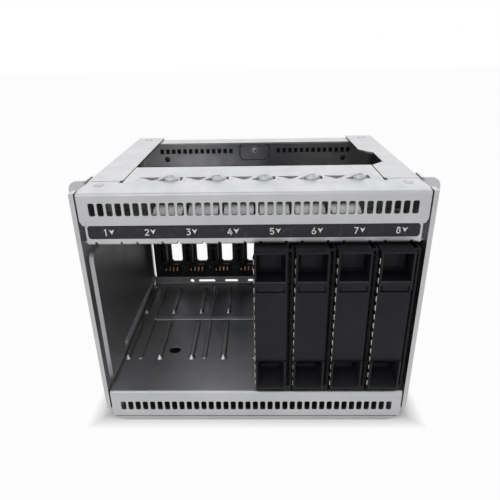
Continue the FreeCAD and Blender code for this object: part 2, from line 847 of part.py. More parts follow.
class Blank:
    """The places of one bay blank, worked out from its bay."""

    def __init__(self, bay):
        self.left = bay_left(bay) + blank_gap / 2
        self.right = self.left + bay_pitch - blank_gap
        self.face_right = self.left + blank_face_width
        self.front = -blank_reach
        self.panel = self.front + blank_panel_setback
        self.pocket_end = self.front + blank_pocket_depth
        self.low = floor_top + blank_bottom_gap
        self.high = self.low + blank_height
        self.chin_top = self.low + blank_chin_height
        self.frame_left = self.left + blank_frame_inset
        self.frame_right = self.frame_left + blank_frame_width
        self.frame_low = floor_top + bead_height + blank_run_gap
        self.inside = (self.left + blank_wall, self.face_right - blank_wall)
        self.pocket_top = self.high - blank_top_wall
        self.pocket_low = self.pocket_top - blank_top_pocket
        self.panel_high = self.pocket_low - blank_ledge_height
        pocket_floor = self.chin_top + blank_low_wall
        self.low_pocket = (pocket_floor, pocket_floor + blank_low_pocket)
        self.pivot_z = self.pocket_top - latch_pivot_below_top
        self.latch_middle = (self.inside[0] + self.inside[1]) / 2
        self.pin_left = self.frame_left
        self.pin_right = self.inside[1] + blank_frame_wall
        self.vent = self.front + blank_vent_setback
        self.spring_y = around(self.front + spring_setback + spring_depth / 2, spring_depth / 2)
        self.spring_z = (self.chin_top + spring_chin_gap, self.high - spring_margin)


def blank_cuts(at):
    """Everything cut from a blank's face: pockets, panel, hollows and the latch openings."""
    behind = blank_bezel_depth + 1
    cuts = [block(at.inside, (at.front - 1, at.pocket_end), (at.pocket_low, at.pocket_top))]
    wide = (at.left - 1, at.face_right + 1)
    cuts.append(block(wide, (at.front - 1, at.panel), (at.low_pocket[1], at.panel_high)))
    groove = (at.front - 1, at.panel + blank_groove_depth)
    cuts.append(block(at.inside, groove, (at.panel_high - blank_groove_height, at.panel_high)))
    tick_y = (at.front - 1, at.front + blank_groove_depth)
    tick_z = (at.panel_high, at.panel_high + blank_tick_height)
    for x in (at.inside[0], at.inside[1] - blank_tick_width):
        cuts.append(block((x, x + blank_tick_width), tick_y, tick_z))
    panel_z = (at.low_pocket[1] + blank_wall, at.pocket_low - blank_wall)
    cuts.append(block(at.inside, (at.panel + blank_panel_thickness, behind), panel_z))
    hollow_x = (at.frame_left + blank_frame_wall, at.inside[1])
    hollow_y = (at.pocket_end + blank_back_wall, behind)
    cuts.append(block(hollow_x, hollow_y, (at.pocket_low, at.pocket_top)))
    cuts.append(block(hollow_x, hollow_y, (at.low + blank_wall, at.low_pocket[1])))
    window_x = around(at.latch_middle, hook_width / 2 + hook_window_gap)
    window_y = (hook_front - hook_window_gap, hook_front + hook_depth + 2 * hook_window_gap)
    cuts.append(block(window_x, window_y, (at.pocket_top - 1, at.high + 1)))
    latch_x = around(at.latch_middle, latch_width / 2 + hook_window_gap)
    latch_z = (at.pivot_z - 3 * latch_thickness, at.pocket_top)
    cuts.append(block(latch_x, (at.pocket_end - 1, behind), latch_z))
    cuts.append(block((at.left - 1, at.left + spring_thickness), at.spring_y, at.spring_z))
    return cuts


def low_pocket_cut(at):
    """The lower finger pocket, which narrows and rises toward its end."""
    middle = ((at.inside[0] + at.inside[1]) / 2, sum(at.low_pocket) / 2)
    mouth_size = (at.inside[1] - at.inside[0], at.low_pocket[1] - at.low_pocket[0])
    end_size = (mouth_size[0] - low_pocket_taper[0], mouth_size[1] - low_pocket_taper[1])

    def mouth(u, v):
        return Vector(middle[0] + u, at.front - 0.01, middle[1] + v)

    def end(u, v):
        return Vector(middle[0] + u, at.pocket_end, middle[1] + low_pocket_lift + v)
    return pressed(mouth, end, mouth_size, end_size, (0.8, 0.8))


def chin_cut(at):
    """The wedge taken from under a blank's face, so that its chin slopes back to the floor."""
    x = at.left - 1
    rear = at.front + blank_chin_depth
    loop = [Vector(x, at.front - 1, at.low - 1), Vector(x, at.front - 1, at.chin_top),
            Vector(x, at.front, at.chin_top), Vector(x, rear, at.low), Vector(x, rear, at.low - 1)]
    return Part.Face(Part.makePolygon(loop + [loop[0]])).extrude(Vector(bay_pitch + 2, 0, 0))


def blank_body(bay):
    """A blank: its grip face with two finger pockets, vented edge and open frame."""
    at = Blank(bay)
    face = block((at.left, at.face_right), (at.front, blank_bezel_depth), (at.low, at.high))
    upright = [edge for edge in face.Edges
               if abs(edge.CenterOfMass.y - at.front) < 0.01 and edge.Length > blank_height / 2]
    face = face.makeChamfer(blank_edge_ease, upright)
    face = face.cut(Part.makeCompound(blank_cuts(at))).cut(low_pocket_cut(at))
    vent_y = (at.vent, at.vent + blank_vent_thickness)
    guard_x = (at.right - blank_guard_thickness, at.right)
    edge = block((at.face_right - 0.5, at.right), vent_y, (at.low, at.high))
    guard = block(guard_x, (at.vent, blank_bezel_depth), (at.low, at.high))
    slot_x = around((at.face_right + guard_x[0]) / 2, blank_vent_slot / 2)
    slot_y = (at.vent - 1, at.vent + blank_vent_thickness + 1)
    step = (at.high - at.chin_top) / blank_vent_count
    vents = [block(slot_x, slot_y, around(z, step * 0.36))
             for z in row(blank_vent_count, step, (at.chin_top + at.high) / 2)]
    edge = fuse([edge, guard]).cut(Part.makeCompound(vents))
    body = fuse([face, edge] + blank_frame(at))
    hole_radius = latch_pin_radius + latch_pin_clearance
    hole = rod(hole_radius, Vector(at.left - 1, latch_pivot_y, at.pivot_z),
               Vector(at.right + 1, latch_pivot_y, at.pivot_z))
    return body.cut(Part.makeCompound([hole, chin_cut(at)]))


def blank_frame(at):
    """The pieces of the open frame behind a blank's face."""
    y = (blank_bezel_depth - 1.0, blank_length)
    wall_x = (at.frame_left, at.frame_left + blank_frame_wall)
    wall = block(wall_x, y, (at.frame_low, at.high))
    span = (blank_bezel_depth + blank_window_start, blank_length - blank_window_margin)
    step = (span[1] - span[0]) / blank_window_count
    window_z = (at.frame_low + blank_window_margin, at.high - blank_window_margin)
    size = (step - blank_web, window_z[1] - window_z[0])
    windows = [through_x((y_middle, sum(window_z) / 2), size[0], size[1], 2.0, (wall_x[0] - 1, wall_x[1] + 1))
               for y_middle in row(blank_window_count, step, sum(span) / 2)]
    wall = wall.cut(Part.makeCompound(windows))
    across_x = (at.frame_left, at.frame_right)
    bottom = block(across_x, y, (at.frame_low, at.frame_low + blank_frame_wall))
    top = block(across_x, y, (at.pocket_top, at.pocket_top + blank_frame_wall))
    rear = block(across_x, (blank_length - blank_frame_wall, blank_length), (at.frame_low, at.high))
    foot = block(across_x, (blank_bezel_depth - blank_wall, blank_bezel_depth),
                 (at.frame_low, at.low + blank_wall))
    cheek_y = (blank_bezel_depth - 1.0, latch_pivot_y + 4.0)
    cheek_x = (at.inside[1], at.pin_right)
    cheek = block(cheek_x, cheek_y, (at.pivot_z - 4.0, at.pocket_top + 0.5))
    return [wall, bottom, top, rear, foot, cheek]


def blank_latch(bay):
    """The latch of a blank: a finger plate, a tongue with its catch and the pivot pin."""
    at = Blank(bay)
    x = around(at.latch_middle, latch_width / 2)
    tongue_z = around(at.pivot_z, latch_thickness / 2)
    plate_rear = at.pocket_end - latch_plate_gap
    tongue = block(x, (plate_rear, latch_pivot_y), tongue_z)
    plate_z = (at.pocket_low + latch_plate_low, at.pocket_top - latch_plate_below_top)
    plate = block(around(at.latch_middle, latch_plate_width / 2),
                  (plate_rear - latch_thickness, plate_rear), plate_z)
    hook_x = around(at.latch_middle, hook_width / 2)
    hook_top = rail_bottom - hook_gap
    low = Vector(hook_x[0], hook_front, tongue_z[0])
    rise = hook_top - tongue_z[0]
    loop = [low, low + Vector(0, 0, rise - 1.2), low + Vector(0, 1.2, rise),
            low + Vector(0, hook_depth, rise), low + Vector(0, hook_depth, 0)]
    hook = Part.Face(Part.makePolygon(loop + [low])).extrude(Vector(hook_width, 0, 0))
    pin = rod(latch_pin_radius, Vector(at.pin_left, latch_pivot_y, at.pivot_z),
              Vector(at.pin_right, latch_pivot_y, at.pivot_z))
    return fuse([tongue, plate, hook, pin])


def blank_ground_spring(bay):
    """The strip of spring fingers that grounds a blank to its neighbour."""
    at = Blank(bay)
    z = at.spring_z
    strip = block((at.left, at.left + spring_thickness), at.spring_y, z)
    step = (z[1] - z[0]) / spring_finger_count
    fingers = []
    for middle in row(spring_finger_count, step, sum(z) / 2):
        low = middle - spring_finger_length / 2
        start = Vector(at.left + spring_thickness / 2, at.spring_y[0] + 0.6, low)
        rise = spring_thickness / 2 + spring_finger_rise
        loop = [start, start + Vector(-rise, 0.8, 0), start + Vector(-rise, spring_depth - 2.6, 0),
                start + Vector(0, spring_depth - 1.2, 0)]
        face = Part.Face(Part.makePolygon(loop + [start]))
        fingers.append(face.extrude(Vector(0, 0, spring_finger_length)))
    return fuse([strip] + fingers)


def build():
    """Every node of the part by name, drawn with the front face at Y = 0."""
    right = side_wall(relieved=True)
    left = mirrored(side_wall(relieved=False))
    nodes = {
        "upper_front_panel": upper_front_panel(),
        "upper_guide": upper_guide(),
        "number_label": number_label(),
        "left_side_wall": left,
        "right_side_wall": right,
        "left_ear": mirrored(ear()),
        "right_ear": ear(),
        "floor_plate": floor_plate(),
        "rear_crossmember": rear_crossmember(),
        "vent_screen": vent_screen(),
        "backplane_board": backplane_board(),
        "drive_sockets": drive_sockets(),
        "contact_housings": contact_housings(),
        "contact_pins": contact_pins(),
        "data_ports": data_ports(),
        "power_header": power_header(),
        "board_standoffs": board_standoffs(),
    }
    for bay in range(first_blank_bay, bay_count + 1):
        nodes[f"blank_{bay}_body"] = blank_body(bay)
        nodes[f"blank_{bay}_latch"] = blank_latch(bay)
        nodes[f"blank_{bay}_ground_spring"] = blank_ground_spring(bay)
    return nodes


os.makedirs("parts", exist_ok=True)
to_origin = Vector(0, -(front_most + rear_most) / 2, 0)
for name, shape in build().items():
    shape.translate(to_origin)
    shape.exportStep(f"parts/{name}.step")
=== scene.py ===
"""Visual model of a hot swap drive cage: a folded steel cage for eight small drives.

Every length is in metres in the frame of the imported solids: X runs across the bays, Y runs
from the front into the cage and Z is up.
"""

from __future__ import annotations

import json
import logging
import math
from collections.abc import Iterable, Sequence
from dataclasses import dataclass, field
from enum import Enum

import bmesh
import bpy
from mathutils import Euler, Matrix, Vector

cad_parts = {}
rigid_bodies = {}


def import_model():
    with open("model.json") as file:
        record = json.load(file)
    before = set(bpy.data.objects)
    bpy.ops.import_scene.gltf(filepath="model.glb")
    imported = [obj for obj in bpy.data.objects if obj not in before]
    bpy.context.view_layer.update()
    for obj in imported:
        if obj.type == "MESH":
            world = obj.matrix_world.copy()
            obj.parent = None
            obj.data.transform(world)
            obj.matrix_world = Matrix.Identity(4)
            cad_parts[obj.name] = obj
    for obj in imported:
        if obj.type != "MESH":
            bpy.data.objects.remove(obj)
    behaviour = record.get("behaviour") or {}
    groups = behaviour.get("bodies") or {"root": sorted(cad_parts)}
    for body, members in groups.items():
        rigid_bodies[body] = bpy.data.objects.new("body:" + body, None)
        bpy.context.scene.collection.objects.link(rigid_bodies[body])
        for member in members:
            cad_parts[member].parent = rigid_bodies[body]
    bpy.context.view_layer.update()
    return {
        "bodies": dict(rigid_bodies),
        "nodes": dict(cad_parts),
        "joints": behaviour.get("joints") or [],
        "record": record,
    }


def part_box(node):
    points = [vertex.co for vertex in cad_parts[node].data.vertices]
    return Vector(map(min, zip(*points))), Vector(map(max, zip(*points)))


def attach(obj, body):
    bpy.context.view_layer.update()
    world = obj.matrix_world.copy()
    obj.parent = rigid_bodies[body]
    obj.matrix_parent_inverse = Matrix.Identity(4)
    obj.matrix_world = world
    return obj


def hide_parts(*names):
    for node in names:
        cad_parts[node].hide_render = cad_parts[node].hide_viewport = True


LOG = logging.getLogger("drive_cage")
MM = 0.001
BAYS = 8
BAY_PITCH = 17.5 * MM
BLANK_BAYS = range(5, 9)
FORWARD = (math.pi / 2, 0.0, 0.0)  # turns what faces up towards the front
WELD = 0.5e-6  # points of a new piece that are closer than this are one
MERGE = 1e-6  # the same for a copied solid
FLAT = math.radians(1.0)
AREA_WEIGHT = 80
Colour = tuple[float, float, float]
Size = tuple[float, float, float]
Pair = tuple[float, float]
Point = Sequence[float]
Noise = tuple[float | Point, ...]
Node = bpy.types.Node
Socket = bpy.types.NodeSocket
Material = bpy.types.Material
Piece = bpy.types.Object
Solid = bmesh.types.BMesh


class Finish(Enum):
    """The names of the record's material slots, passed along with the pieces."""

    ZINC = "zinc_steel"
    LABEL = "label_film"
    BOARD = "board_black"
    CONNECTOR = "connector_plastic"
    COPPER = "contact_copper"
    SHELL = "port_shell"
    BRASS = "standoff_brass"
    BLANK = "blank_plastic"
    SPRING = "spring_steel"
    SCREEN = "screen_film"


# ---------------------------------------------------------------- node trees


def wire(tree: bpy.types.NodeTree, kind: str, inputs: dict | None = None,
         **settings: object) -> Node:
    """Adds one node to a tree.

    Args:
        tree: The node tree.
        kind: The node's type name.
        inputs: Socket name or number to a value, or to an output socket to link from.
        settings: The node's own properties.

    Returns:
        The new node.
    """
    node = tree.nodes.new(kind)
    for name, value in settings.items():
        setattr(node, name, value)
    for key, value in (inputs or {}).items():
        if isinstance(value, Socket):
            tree.links.new(value, node.inputs[key])
        else:
            node.inputs[key].default_value = value
    return node


class Shader:
    """The node tree of one material while it is wired."""

    def __init__(self, name: str) -> None:
        """Starts a material with a bare surface shader.

        Args:
            name: The material's name.
        """
        self.material = bpy.data.materials.new(name)
        self.material.use_nodes = True
        self.tree = self.material.node_tree
        self.surface = self.tree.nodes["Principled BSDF"]
        self.place = self.tree.nodes.new("ShaderNodeTexCoord").outputs["Object"]

    def add(self, kind: str, inputs: dict | None = None, **settings: object) -> Node:
        """Adds a node to the material."""
        return wire(self.tree, kind, inputs, **settings)

    def noise(self, scale: float, detail: float = 2.0, stretch: Point = (1, 1, 1)) -> Socket:
        """Adds a noise on the object's own coordinates.

        Args:
            scale: Cells in a metre.
            detail: Octaves of finer noise.
            stretch: Factors on the three axes; a small one draws streaks along that axis.

        Returns:
            The noise value, about 0.5 on average.
        """
        mapping = self.add("ShaderNodeMapping", {"Vector": self.place, "Scale": stretch})
        values = {"Vector": mapping.outputs[0], "Scale": scale, "Detail": detail}
        return self.add("ShaderNodeTexNoise", values).outputs[0]

    def graded(self, value: Socket, start: float, end: float, low: float = 0.0,
               high: float = 1.0) -> Socket:
        """Maps a value from start..end to low..high, and holds it there."""
        limits = {"Value": value, "From Min": start, "From Max": end,
                  "To Min": low, "To Max": high}
        return self.add("ShaderNodeMapRange", limits).outputs[0]

    def blended(self, factor: Socket, first: Colour, second: Colour) -> Socket:
        """Blends two colours by a factor."""
        colours = {"Fac": factor, "Color1": (*first, 1), "Color2": (*second, 1)}
        return self.add("ShaderNodeMixRGB", colours).outputs[0]

    def combined(self, first: Socket, second: Socket | float = 0.0,
                 operation: str = "MULTIPLY") -> Socket:
        """Combines two values, as a product unless another operation is named."""
        return self.add("ShaderNodeMath", {0: first, 1: second}, operation=operation).outputs[0]

    def facing(self, target: Point) -> Socket:
        """Tells how far a surface faces a point.

        Args:
            target: The point, in the object's own coordinates.

        Returns:
            A value of 1 straight towards the point and of -1 away from it.
        """
        normal = self.add("ShaderNodeNewGeometry").outputs["True Normal"]
        away = self.add("ShaderNodeVectorMath", {0: target, 1: self.place},
                        operation="SUBTRACT")
        way = self.add("ShaderNodeVectorMath", {0: away.outputs[0]}, operation="NORMALIZE")
        dot = {0: way.outputs[0], 1: normal}
        return self.add("ShaderNodeVectorMath", dot, operation="DOT_PRODUCT").outputs["Value"]

    def bumped(self, height: Socket, distance: float, strength: float = 1.0) -> None:
        """Raises the surface by a height pattern.

        Args:
            height: The pattern.
            distance: The height that a value of 1 stands for.
            strength: The share of that height which shows.
        """
        values = {"Height": height, "Distance": distance, "Strength": strength}
        bump = self.add("ShaderNodeBump", values)
        self.tree.links.new(bump.outputs[0], self.surface.inputs["Normal"])

    def connect(self, name: str, value: Socket) -> None:
        """Links a value to a socket of the surface shader."""
        self.tree.links.new(value, self.surface.inputs[name])

    def uniform(self, **values: object) -> None:
        """Sets values that are the same all over on their sockets, with _ for each space."""
        for name, value in values.items():
            self.surface.inputs[name.replace("_", " ")].default_value = value


class GeometryTree:
    """A Geometry Nodes tree with named inputs that makes plain meshes."""

    def __init__(self, name: str, sizes: dict[str, object]) -> None:
        """Starts a tree.

        Args:
            name: The tree's name.
            sizes: Input name to its default, which also tells the kind of input.
        """
        self.tree = bpy.data.node_groups.new(name, "GeometryNodeTree")
        kinds = {float: "NodeSocketFloat", int: "NodeSocketInt", tuple: "NodeSocketVector"}
        face = self.tree.interface
        face.new_socket("Geometry", in_out="INPUT", socket_type="NodeSocketGeometry")
        for label, default in sizes.items():
            item = face.new_socket(label, in_out="INPUT", socket_type=kinds[type(default)])
            item.default_value = default
        face.new_socket("Material", in_out="INPUT", socket_type="NodeSocketMaterial")
        face.new_socket("Geometry", in_out="OUTPUT", socket_type="NodeSocketGeometry")
        self.given = self.tree.nodes.new("NodeGroupInput").outputs
        self.result = self.tree.nodes.new("NodeGroupOutput")

    def add(self, kind: str, inputs: dict | None = None, **settings: object) -> Socket:
        """Adds a node to the tree and returns its first output."""
        return wire(self.tree, "GeometryNode" + kind, inputs, **settings).outputs[0]

    def times(self, value: object, factor: object) -> Socket:
        """Multiplies two values."""
        values = {0: value, 1: factor}
        return wire(self.tree, "ShaderNodeMath", values, operation="MULTIPLY").outputs[0]

    def vector(self, x: object = 0.0, y: object = 0.0, z: object = 0.0) -> Socket:
        """Joins three values into a vector."""
        return wire(self.tree, "ShaderNodeCombineXYZ", {0: x, 1: y, 2: z}).outputs[0]

    def strip(self, path: Socket, width: Socket, depth: Socket, ease: float) -> Socket:
        """Sweeps an eased rectangle along a curve.

        Args:
            path: The curve.
            width: Size of the section in the curve's plane.
            depth: Size of the section across that plane.
            ease: Radius of the section's corners.

        Returns:
            The swept mesh.
        """
        section = self.add("CurvePrimitiveQuadrilateral", {"Width": width, "Height": depth})
        values = {"Curve": section, "Count": 2, "Radius": ease}
        profile = self.add("FilletCurve", values, mode="POLY")
        swept = {"Curve": path, "Profile Curve": profile, "Fill Caps": True}
        return self.add("CurveToMesh", swept)

    def moved(self, shape: object, by: object = (0, 0, 0), turned: Point = (0, 0, 0),
              scaled: object = (1, 1, 1)) -> Socket:
        """Moves, turns or scales a shape."""
        values = {"Geometry": shape, "Translation": by, "Rotation": turned, "Scale": scaled}
        return self.add("Transform", values)

    def joined(self, *shapes: Socket) -> Socket:
        """Joins shapes into one.

        Args:
            shapes: The shapes.

        Returns:
            The joined shape.
        """
        node = wire(self.tree, "GeometryNodeJoinGeometry")
        for shape in shapes:
            self.tree.links.new(shape, node.inputs[0])
        return node.outputs[0]

    def copies(self, points: Socket, shape: Socket, scale: object = (1, 1, 1),
               turn: object = (0, 0, 0)) -> Socket:
        """Puts a copy of a shape on every point."""
        values = {"Points": points, "Instance": shape, "Rotation": turn, "Scale": scale}
        return self.add("InstanceOnPoints", values)

    def placed(self, shape: Socket, scale: object = (1, 1, 1),
               turn: object = (0, 0, 0)) -> GeometryTree:
        """Puts a shape on every given point and closes the tree.

        Args:
            shape: The shape.
            scale: The size of each copy.
            turn: The turn of each copy.

        Returns:
            This tree, which ends in Realize Instances and Set Material.
        """
        copies = self.copies(self.given["Geometry"], shape, scale, turn)
        real = self.add("RealizeInstances", {"Geometry": copies})
        done = self.add("SetMaterial", {"Geometry": real, "Material": self.given["Material"]})
        self.tree.links.new(done, self.result.inputs[0])
        return self

    def make(self, piece: str, material: Material, sizes: dict[str, object],
             points: Iterable[Point] = ((0, 0, 0),)) -> Piece:
        """Runs the tree and keeps its result as a plain mesh.

        Args:
            piece: Name of the new piece.
            material: Its material.
            sizes: Input name to value, where it differs from the default.
            points: The places handed to the tree as a mesh of loose points.

        Returns:
            The new piece, with no modifier left on it.
        """
        places = bpy.data.meshes.new(piece)
        places.from_pydata([tuple(point) for point in points], [], [])
        made = linked(bpy.data.objects.new(piece, places))
        modifier = made.modifiers.new("tree", "NODES")
        modifier.node_group = self.tree
        values = {**sizes, "Material": material}
        for item in self.tree.interface.items_tree:
            if item.item_type == "SOCKET" and item.in_out == "INPUT" and item.name in values:
                modifier[item.identifier] = values[item.name]
        graph = bpy.context.evaluated_depsgraph_get()
        mesh = bpy.data.meshes.new_from_object(made.evaluated_get(graph))
        mesh.name = piece
        made.modifiers.clear()
        made.data = mesh
        tidy_mesh(mesh)
        if not mesh.materials:
            mesh.materials.append(material)
        return made


# ---------------------------------------------------------------- meshes


def linked(thing: Piece) -> Piece:
    """Puts an object in the scene and returns it."""
    bpy.context.scene.collection.objects.link(thing)
    return thing


def tidy_mesh(mesh: bpy.types.Mesh, sharp: float = 35.0) -> None:
    """Merges doubles, points the faces outwards and smooths all but the sharp edges.

    Args:
        mesh: The mesh to tidy.
        sharp: The angle in degrees past which an edge stays sharp.
    """
    shape = bmesh.new()
    shape.from_mesh(mesh)
    bmesh.ops.remove_doubles(shape, verts=shape.verts, dist=WELD)
    bmesh.ops.recalc_face_normals(shape, faces=shape.faces)
    for face in shape.faces:
        face.smooth = True
    shape.to_mesh(mesh)
    shape.free()
    mesh.set_sharp_from_angle(angle=math.radians(sharp))


def weighted(piece: Piece) -> Piece:
    """Weights the normals by face area, so that broad faces stay flat beside their roundings.

    Args:
        piece: The piece, whose mesh is exchanged.

    Returns:
        The same piece.
    """
    modifier = piece.modifiers.new("normals", "WEIGHTED_NORMAL")
    modifier.keep_sharp = True
    modifier.weight = AREA_WEIGHT
    graph = bpy.context.evaluated_depsgraph_get()
    mesh = bpy.data.meshes.new_from_object(piece.evaluated_get(graph))
    piece.modifiers.clear()
    piece.data = mesh
    return piece


def prism(outline: Sequence[Point], start: Point, along: Point) -> Solid:
    """Makes a solid from a flat outline.

    Args:
        outline: The outline's points in space, relative to start.
        start: Where the outline's own origin goes.
        along: The way and length of the extrusion.

    Returns:
        The solid, with its normals outwards.
    """
    shape = bmesh.new()
    base = [shape.verts.new(Vector(start) + Vector(point)) for point in outline]
    face = shape.faces.new(base)
    grown = bmesh.ops.extrude_face_region(shape, geom=[face])
    verts = [item for item in grown["geom"] if isinstance(item, bmesh.types.BMVert)]
    bmesh.ops.translate(shape, verts=verts, vec=Vector(along))
    bmesh.ops.recalc_face_normals(shape, faces=shape.faces)
    return shape


def slab(low: Point, high: Point) -> Solid:
    """Makes a rectangular solid.

    Args:
        low: Its lowest corner on every axis.
        high: Its highest corner.

    Returns:
        The solid.
    """
    size = [b - a for a, b in zip(low, high)]
    corners = [(0, 0, 0), (size[0], 0, 0), (size[0], size[1], 0), (0, size[1], 0)]
    return prism(corners, low, (0, 0, size[2]))


def eased(shape: Solid, width: float, segments: int = 2, sharp: float = 28.0) -> Solid:
    """Rounds the sharp edges of a solid.

    Args:
        shape: The solid, changed in place.
        width: Width of the rounding.
        segments: Faces across the rounding.
        sharp: The angle in degrees past which an edge is rounded.

    Returns:
        The same solid.
    """
    limit = math.radians(sharp)
    edges = [edge for edge in shape.edges
             if len(edge.link_faces) == 2 and edge.calc_face_angle(0.0) > limit]
    bmesh.ops.bevel(shape, geom=edges, offset=width, segments=segments, profile=0.5,
                    affect="EDGES", clamp_overlap=True)
    return shape


def piece_from(name: str, shapes: Iterable[Solid], material: Material) -> Piece:
    """Joins solids into one piece and frees them.

    Args:
        name: The piece's name.
        shapes: The solids.
        material: Its material.

    Returns:
        The piece.
    """
    mesh = bpy.data.meshes.new(name)
    whole = bmesh.new()
    for shape in shapes:
        shape.to_mesh(mesh)
        whole.from_mesh(mesh)
        shape.free()
    whole.to_mesh(mesh)
    whole.free()
    tidy_mesh(mesh)
    mesh.materials.append(material)
    return weighted(linked(bpy.data.objects.new(name, mesh)))


def softened(node: Piece, name: str, width: float, material: Material) -> Piece:
    """Copies a solid's mesh, merges it and rounds its sharp edges.

    Args:
        node: The solid that the copy stands for.
        name: The copy's name.
        width: Width of the rounding.
        material: The copy's material.

    Returns:
        The copy, which replaces the solid.
    """
    shape = bmesh.new()
    shape.from_mesh(node.data)
    bmesh.ops.remove_doubles(shape, verts=shape.verts, dist=MERGE)
    bmesh.ops.dissolve_limit(shape, angle_limit=FLAT, verts=shape.verts, edges=shape.edges)
    eased(shape, width)
    return piece_from(name, [shape], material)


def dressed(piece: Piece, body: str, finish: Finish, *nodes: str) -> Piece:
    """Puts a finished piece on its body.

    Args:
        piece: The piece.
        body: The body that it moves with.
        finish: The record's slot for its finish; not used.
        nodes: The solids that it stands for.

    Returns:
        The piece.
    """
    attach(piece, body)
    if nodes:
        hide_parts(*nodes)
    triangles = sum(len(face.vertices) - 2 for face in piece.data.polygons)
    LOG.info("%s: %d triangles on %s", piece.name, triangles, body)
    return piece


# ---------------------------------------------------------------- finishes


@dataclass(frozen=True)
class SheetSteel:
    """Zinc plated sheet: a cloudy satin surface, with painted shade on the faces that turn to the
    inside of the cage.
    """

    name: str = "zinc_sheet"
    tone: Colour = (0.532, 0.535, 0.544)
    cloud: Colour = (0.462, 0.466, 0.476)
    gloss: Pair = (0.36, 0.46)
    metallic: float = 0.92
    # Painted shade: faces that turn towards this point inside the cage take the darker colour
    # below, which stands in for the shade in there.
    heart: Point = (0.0, 25 * MM, 105 * MM)
    painted_shade: Colour = (0.118, 0.121, 0.133)

    def material(self) -> Material:
        """Builds the material.

        Returns:
            The material.
        """
        shader = Shader(self.name)
        cloud = shader.noise(60, 5)
        streak = shader.noise(900, 2, (0.04, 1, 1))
        mottle = shader.combined(cloud, shader.graded(streak, 0.2, 0.8, 0.9, 1.1))
        tone = shader.graded(mottle, 0.25, 0.75)
        # Painted shade: the more a face turns inwards, the more its colour is multiplied down by
        # the shade colour.
        shade_share = shader.graded(shader.facing(self.heart), 0.42, 0.95)
        inner = shader.blended(shade_share, (1.0, 1.0, 1.0), self.painted_shade)
        sheet = shader.blended(tone, self.tone, self.cloud)
        scaled = shader.add("ShaderNodeVectorMath", {0: sheet, 1: inner}, operation="MULTIPLY")
        shader.connect("Base Color", scaled.outputs[0])
        rubs = shader.graded(shader.noise(160, 5, (1, 0.5, 1)), 0.35, 0.65, *self.gloss)
        shader.connect("Roughness", rubs)
        grain = shader.combined(shader.noise(2600, 3), shader.noise(1100, 2, (0.05, 1, 1)), "ADD")
        shader.bumped(grain, 0.012 * MM, 0.35)
        shader.uniform(Metallic=self.metallic)
        return shader.material


@dataclass(frozen=True)
class Coat:
    """A finish of two tones in patches, with an uneven gloss and a fine grain.

    A noise is given as its scale and detail, and its stretch where it has one.
    """

    name: str
    tone: Colour
    patched: Colour
    gloss: Pair
    patches: Noise
    patch_edge: Pair
    sheen: Noise
    grain: Noise
    depth: float
    strength: float
    metallic: float = 0.0
    specular: float = 0.5

    def material(self) -> Material:
        """Builds the material.

        Returns:
            The material.
        """
        shader = Shader(self.name)
        patch = shader.graded(shader.noise(*self.patches), *self.patch_edge)
        shader.connect("Base Color", shader.blended(patch, self.tone, self.patched))
        sheen = shader.graded(shader.noise(*self.sheen), 0.3, 0.7, *self.gloss)
        shader.connect("Roughness", sheen)
        shader.bumped(shader.noise(*self.grain), self.depth, self.strength)
        shader.uniform(Metallic=self.metallic, Specular_IOR_Level=self.specular)
        return shader.material


@dataclass(frozen=True)
class MouldedPlastic(Coat):
    """Moulded plastic with a spark-eroded grain and soft wear in patches."""

    name: str = "charcoal_plastic"
    tone: Colour = (0.0078, 0.0069, 0.0096)
    patched: Colour = (0.0118, 0.0106, 0.0142)
    gloss: Pair = (0.48, 0.62)
    patches: Noise = (45, 5)
    patch_edge: Pair = (0.35, 0.7)
    sheen: Noise = (240, 4)
    grain: Noise = (3800, 4)
    depth: float = 0.02 * MM
    strength: float = 0.6
    specular: float = 0.2


@dataclass(frozen=True)
class DrawnMetal(Coat):
    """Thin bright metal: spring strip, plated shells, copper contacts or brass."""

    gloss: Pair = (0.22, 0.36)
    patches: Noise = (320, 4)
    patch_edge: Pair = (0.35, 0.7)
    sheen: Noise = (4200, 2, (1, 1, 0.08))
    grain: Noise = (4200, 2, (1, 1, 0.08))
    depth: float = 0.006 * MM
    strength: float = 0.4
    metallic: float = 1.0


@dataclass(frozen=True)
class PrintedFilm(Coat):
    """A printed film: an even coat with a faint orange peel and fine dust."""

    gloss: Pair = (0.34, 0.46)
    patches: Noise = (420, 6)
    patch_edge: Pair = (0.55, 0.8)
    sheen: Noise = (900, 2)
    grain: Noise = (1400, 2)
    depth: float = 0.01 * MM
    strength: float = 0.3
    specular: float = 0.35


@dataclass(frozen=True)
class SolderMask:
    """A black circuit board: glossy mask over laminate, with buried tracks."""

    name: str = "black_mask"
    tone: Colour = (0.010, 0.011, 0.012)
    track: Colour = (0.018, 0.021, 0.020)

    def material(self) -> Material:
        """Builds the material.

        Returns:
            The material.
        """
        shader = Shader(self.name)
        upright = shader.add("ShaderNodeMapping", {
            "Vector": shader.place, "Rotation": (math.pi / 2, 0, 0)})
        tracks = shader.add("ShaderNodeTexBrick", {
            "Vector": upright.outputs[0], "Scale": 180.0, "Mortar Size": 0.06, "Brick Width": 0.9,
            "Row Height": 0.22}, offset=0.5)
        patches = shader.graded(shader.noise(60, 2), 0.45, 0.55)
        buried = shader.combined(tracks.outputs["Fac"], patches)
        shader.connect("Base Color", shader.blended(buried, self.tone, self.track))
        shader.connect("Roughness", shader.graded(shader.noise(500, 3), 0.3, 0.7, 0.24, 0.38))
        shader.bumped(buried, 0.02 * MM, 0.5)
        shader.uniform(Specular_IOR_Level=0.4)
        return shader.material


def kept(finish: SheetSteel | Coat | SolderMask) -> Material:
    """A field of the palette that builds its finish when the palette is made."""
    return field(default_factory=finish.material)


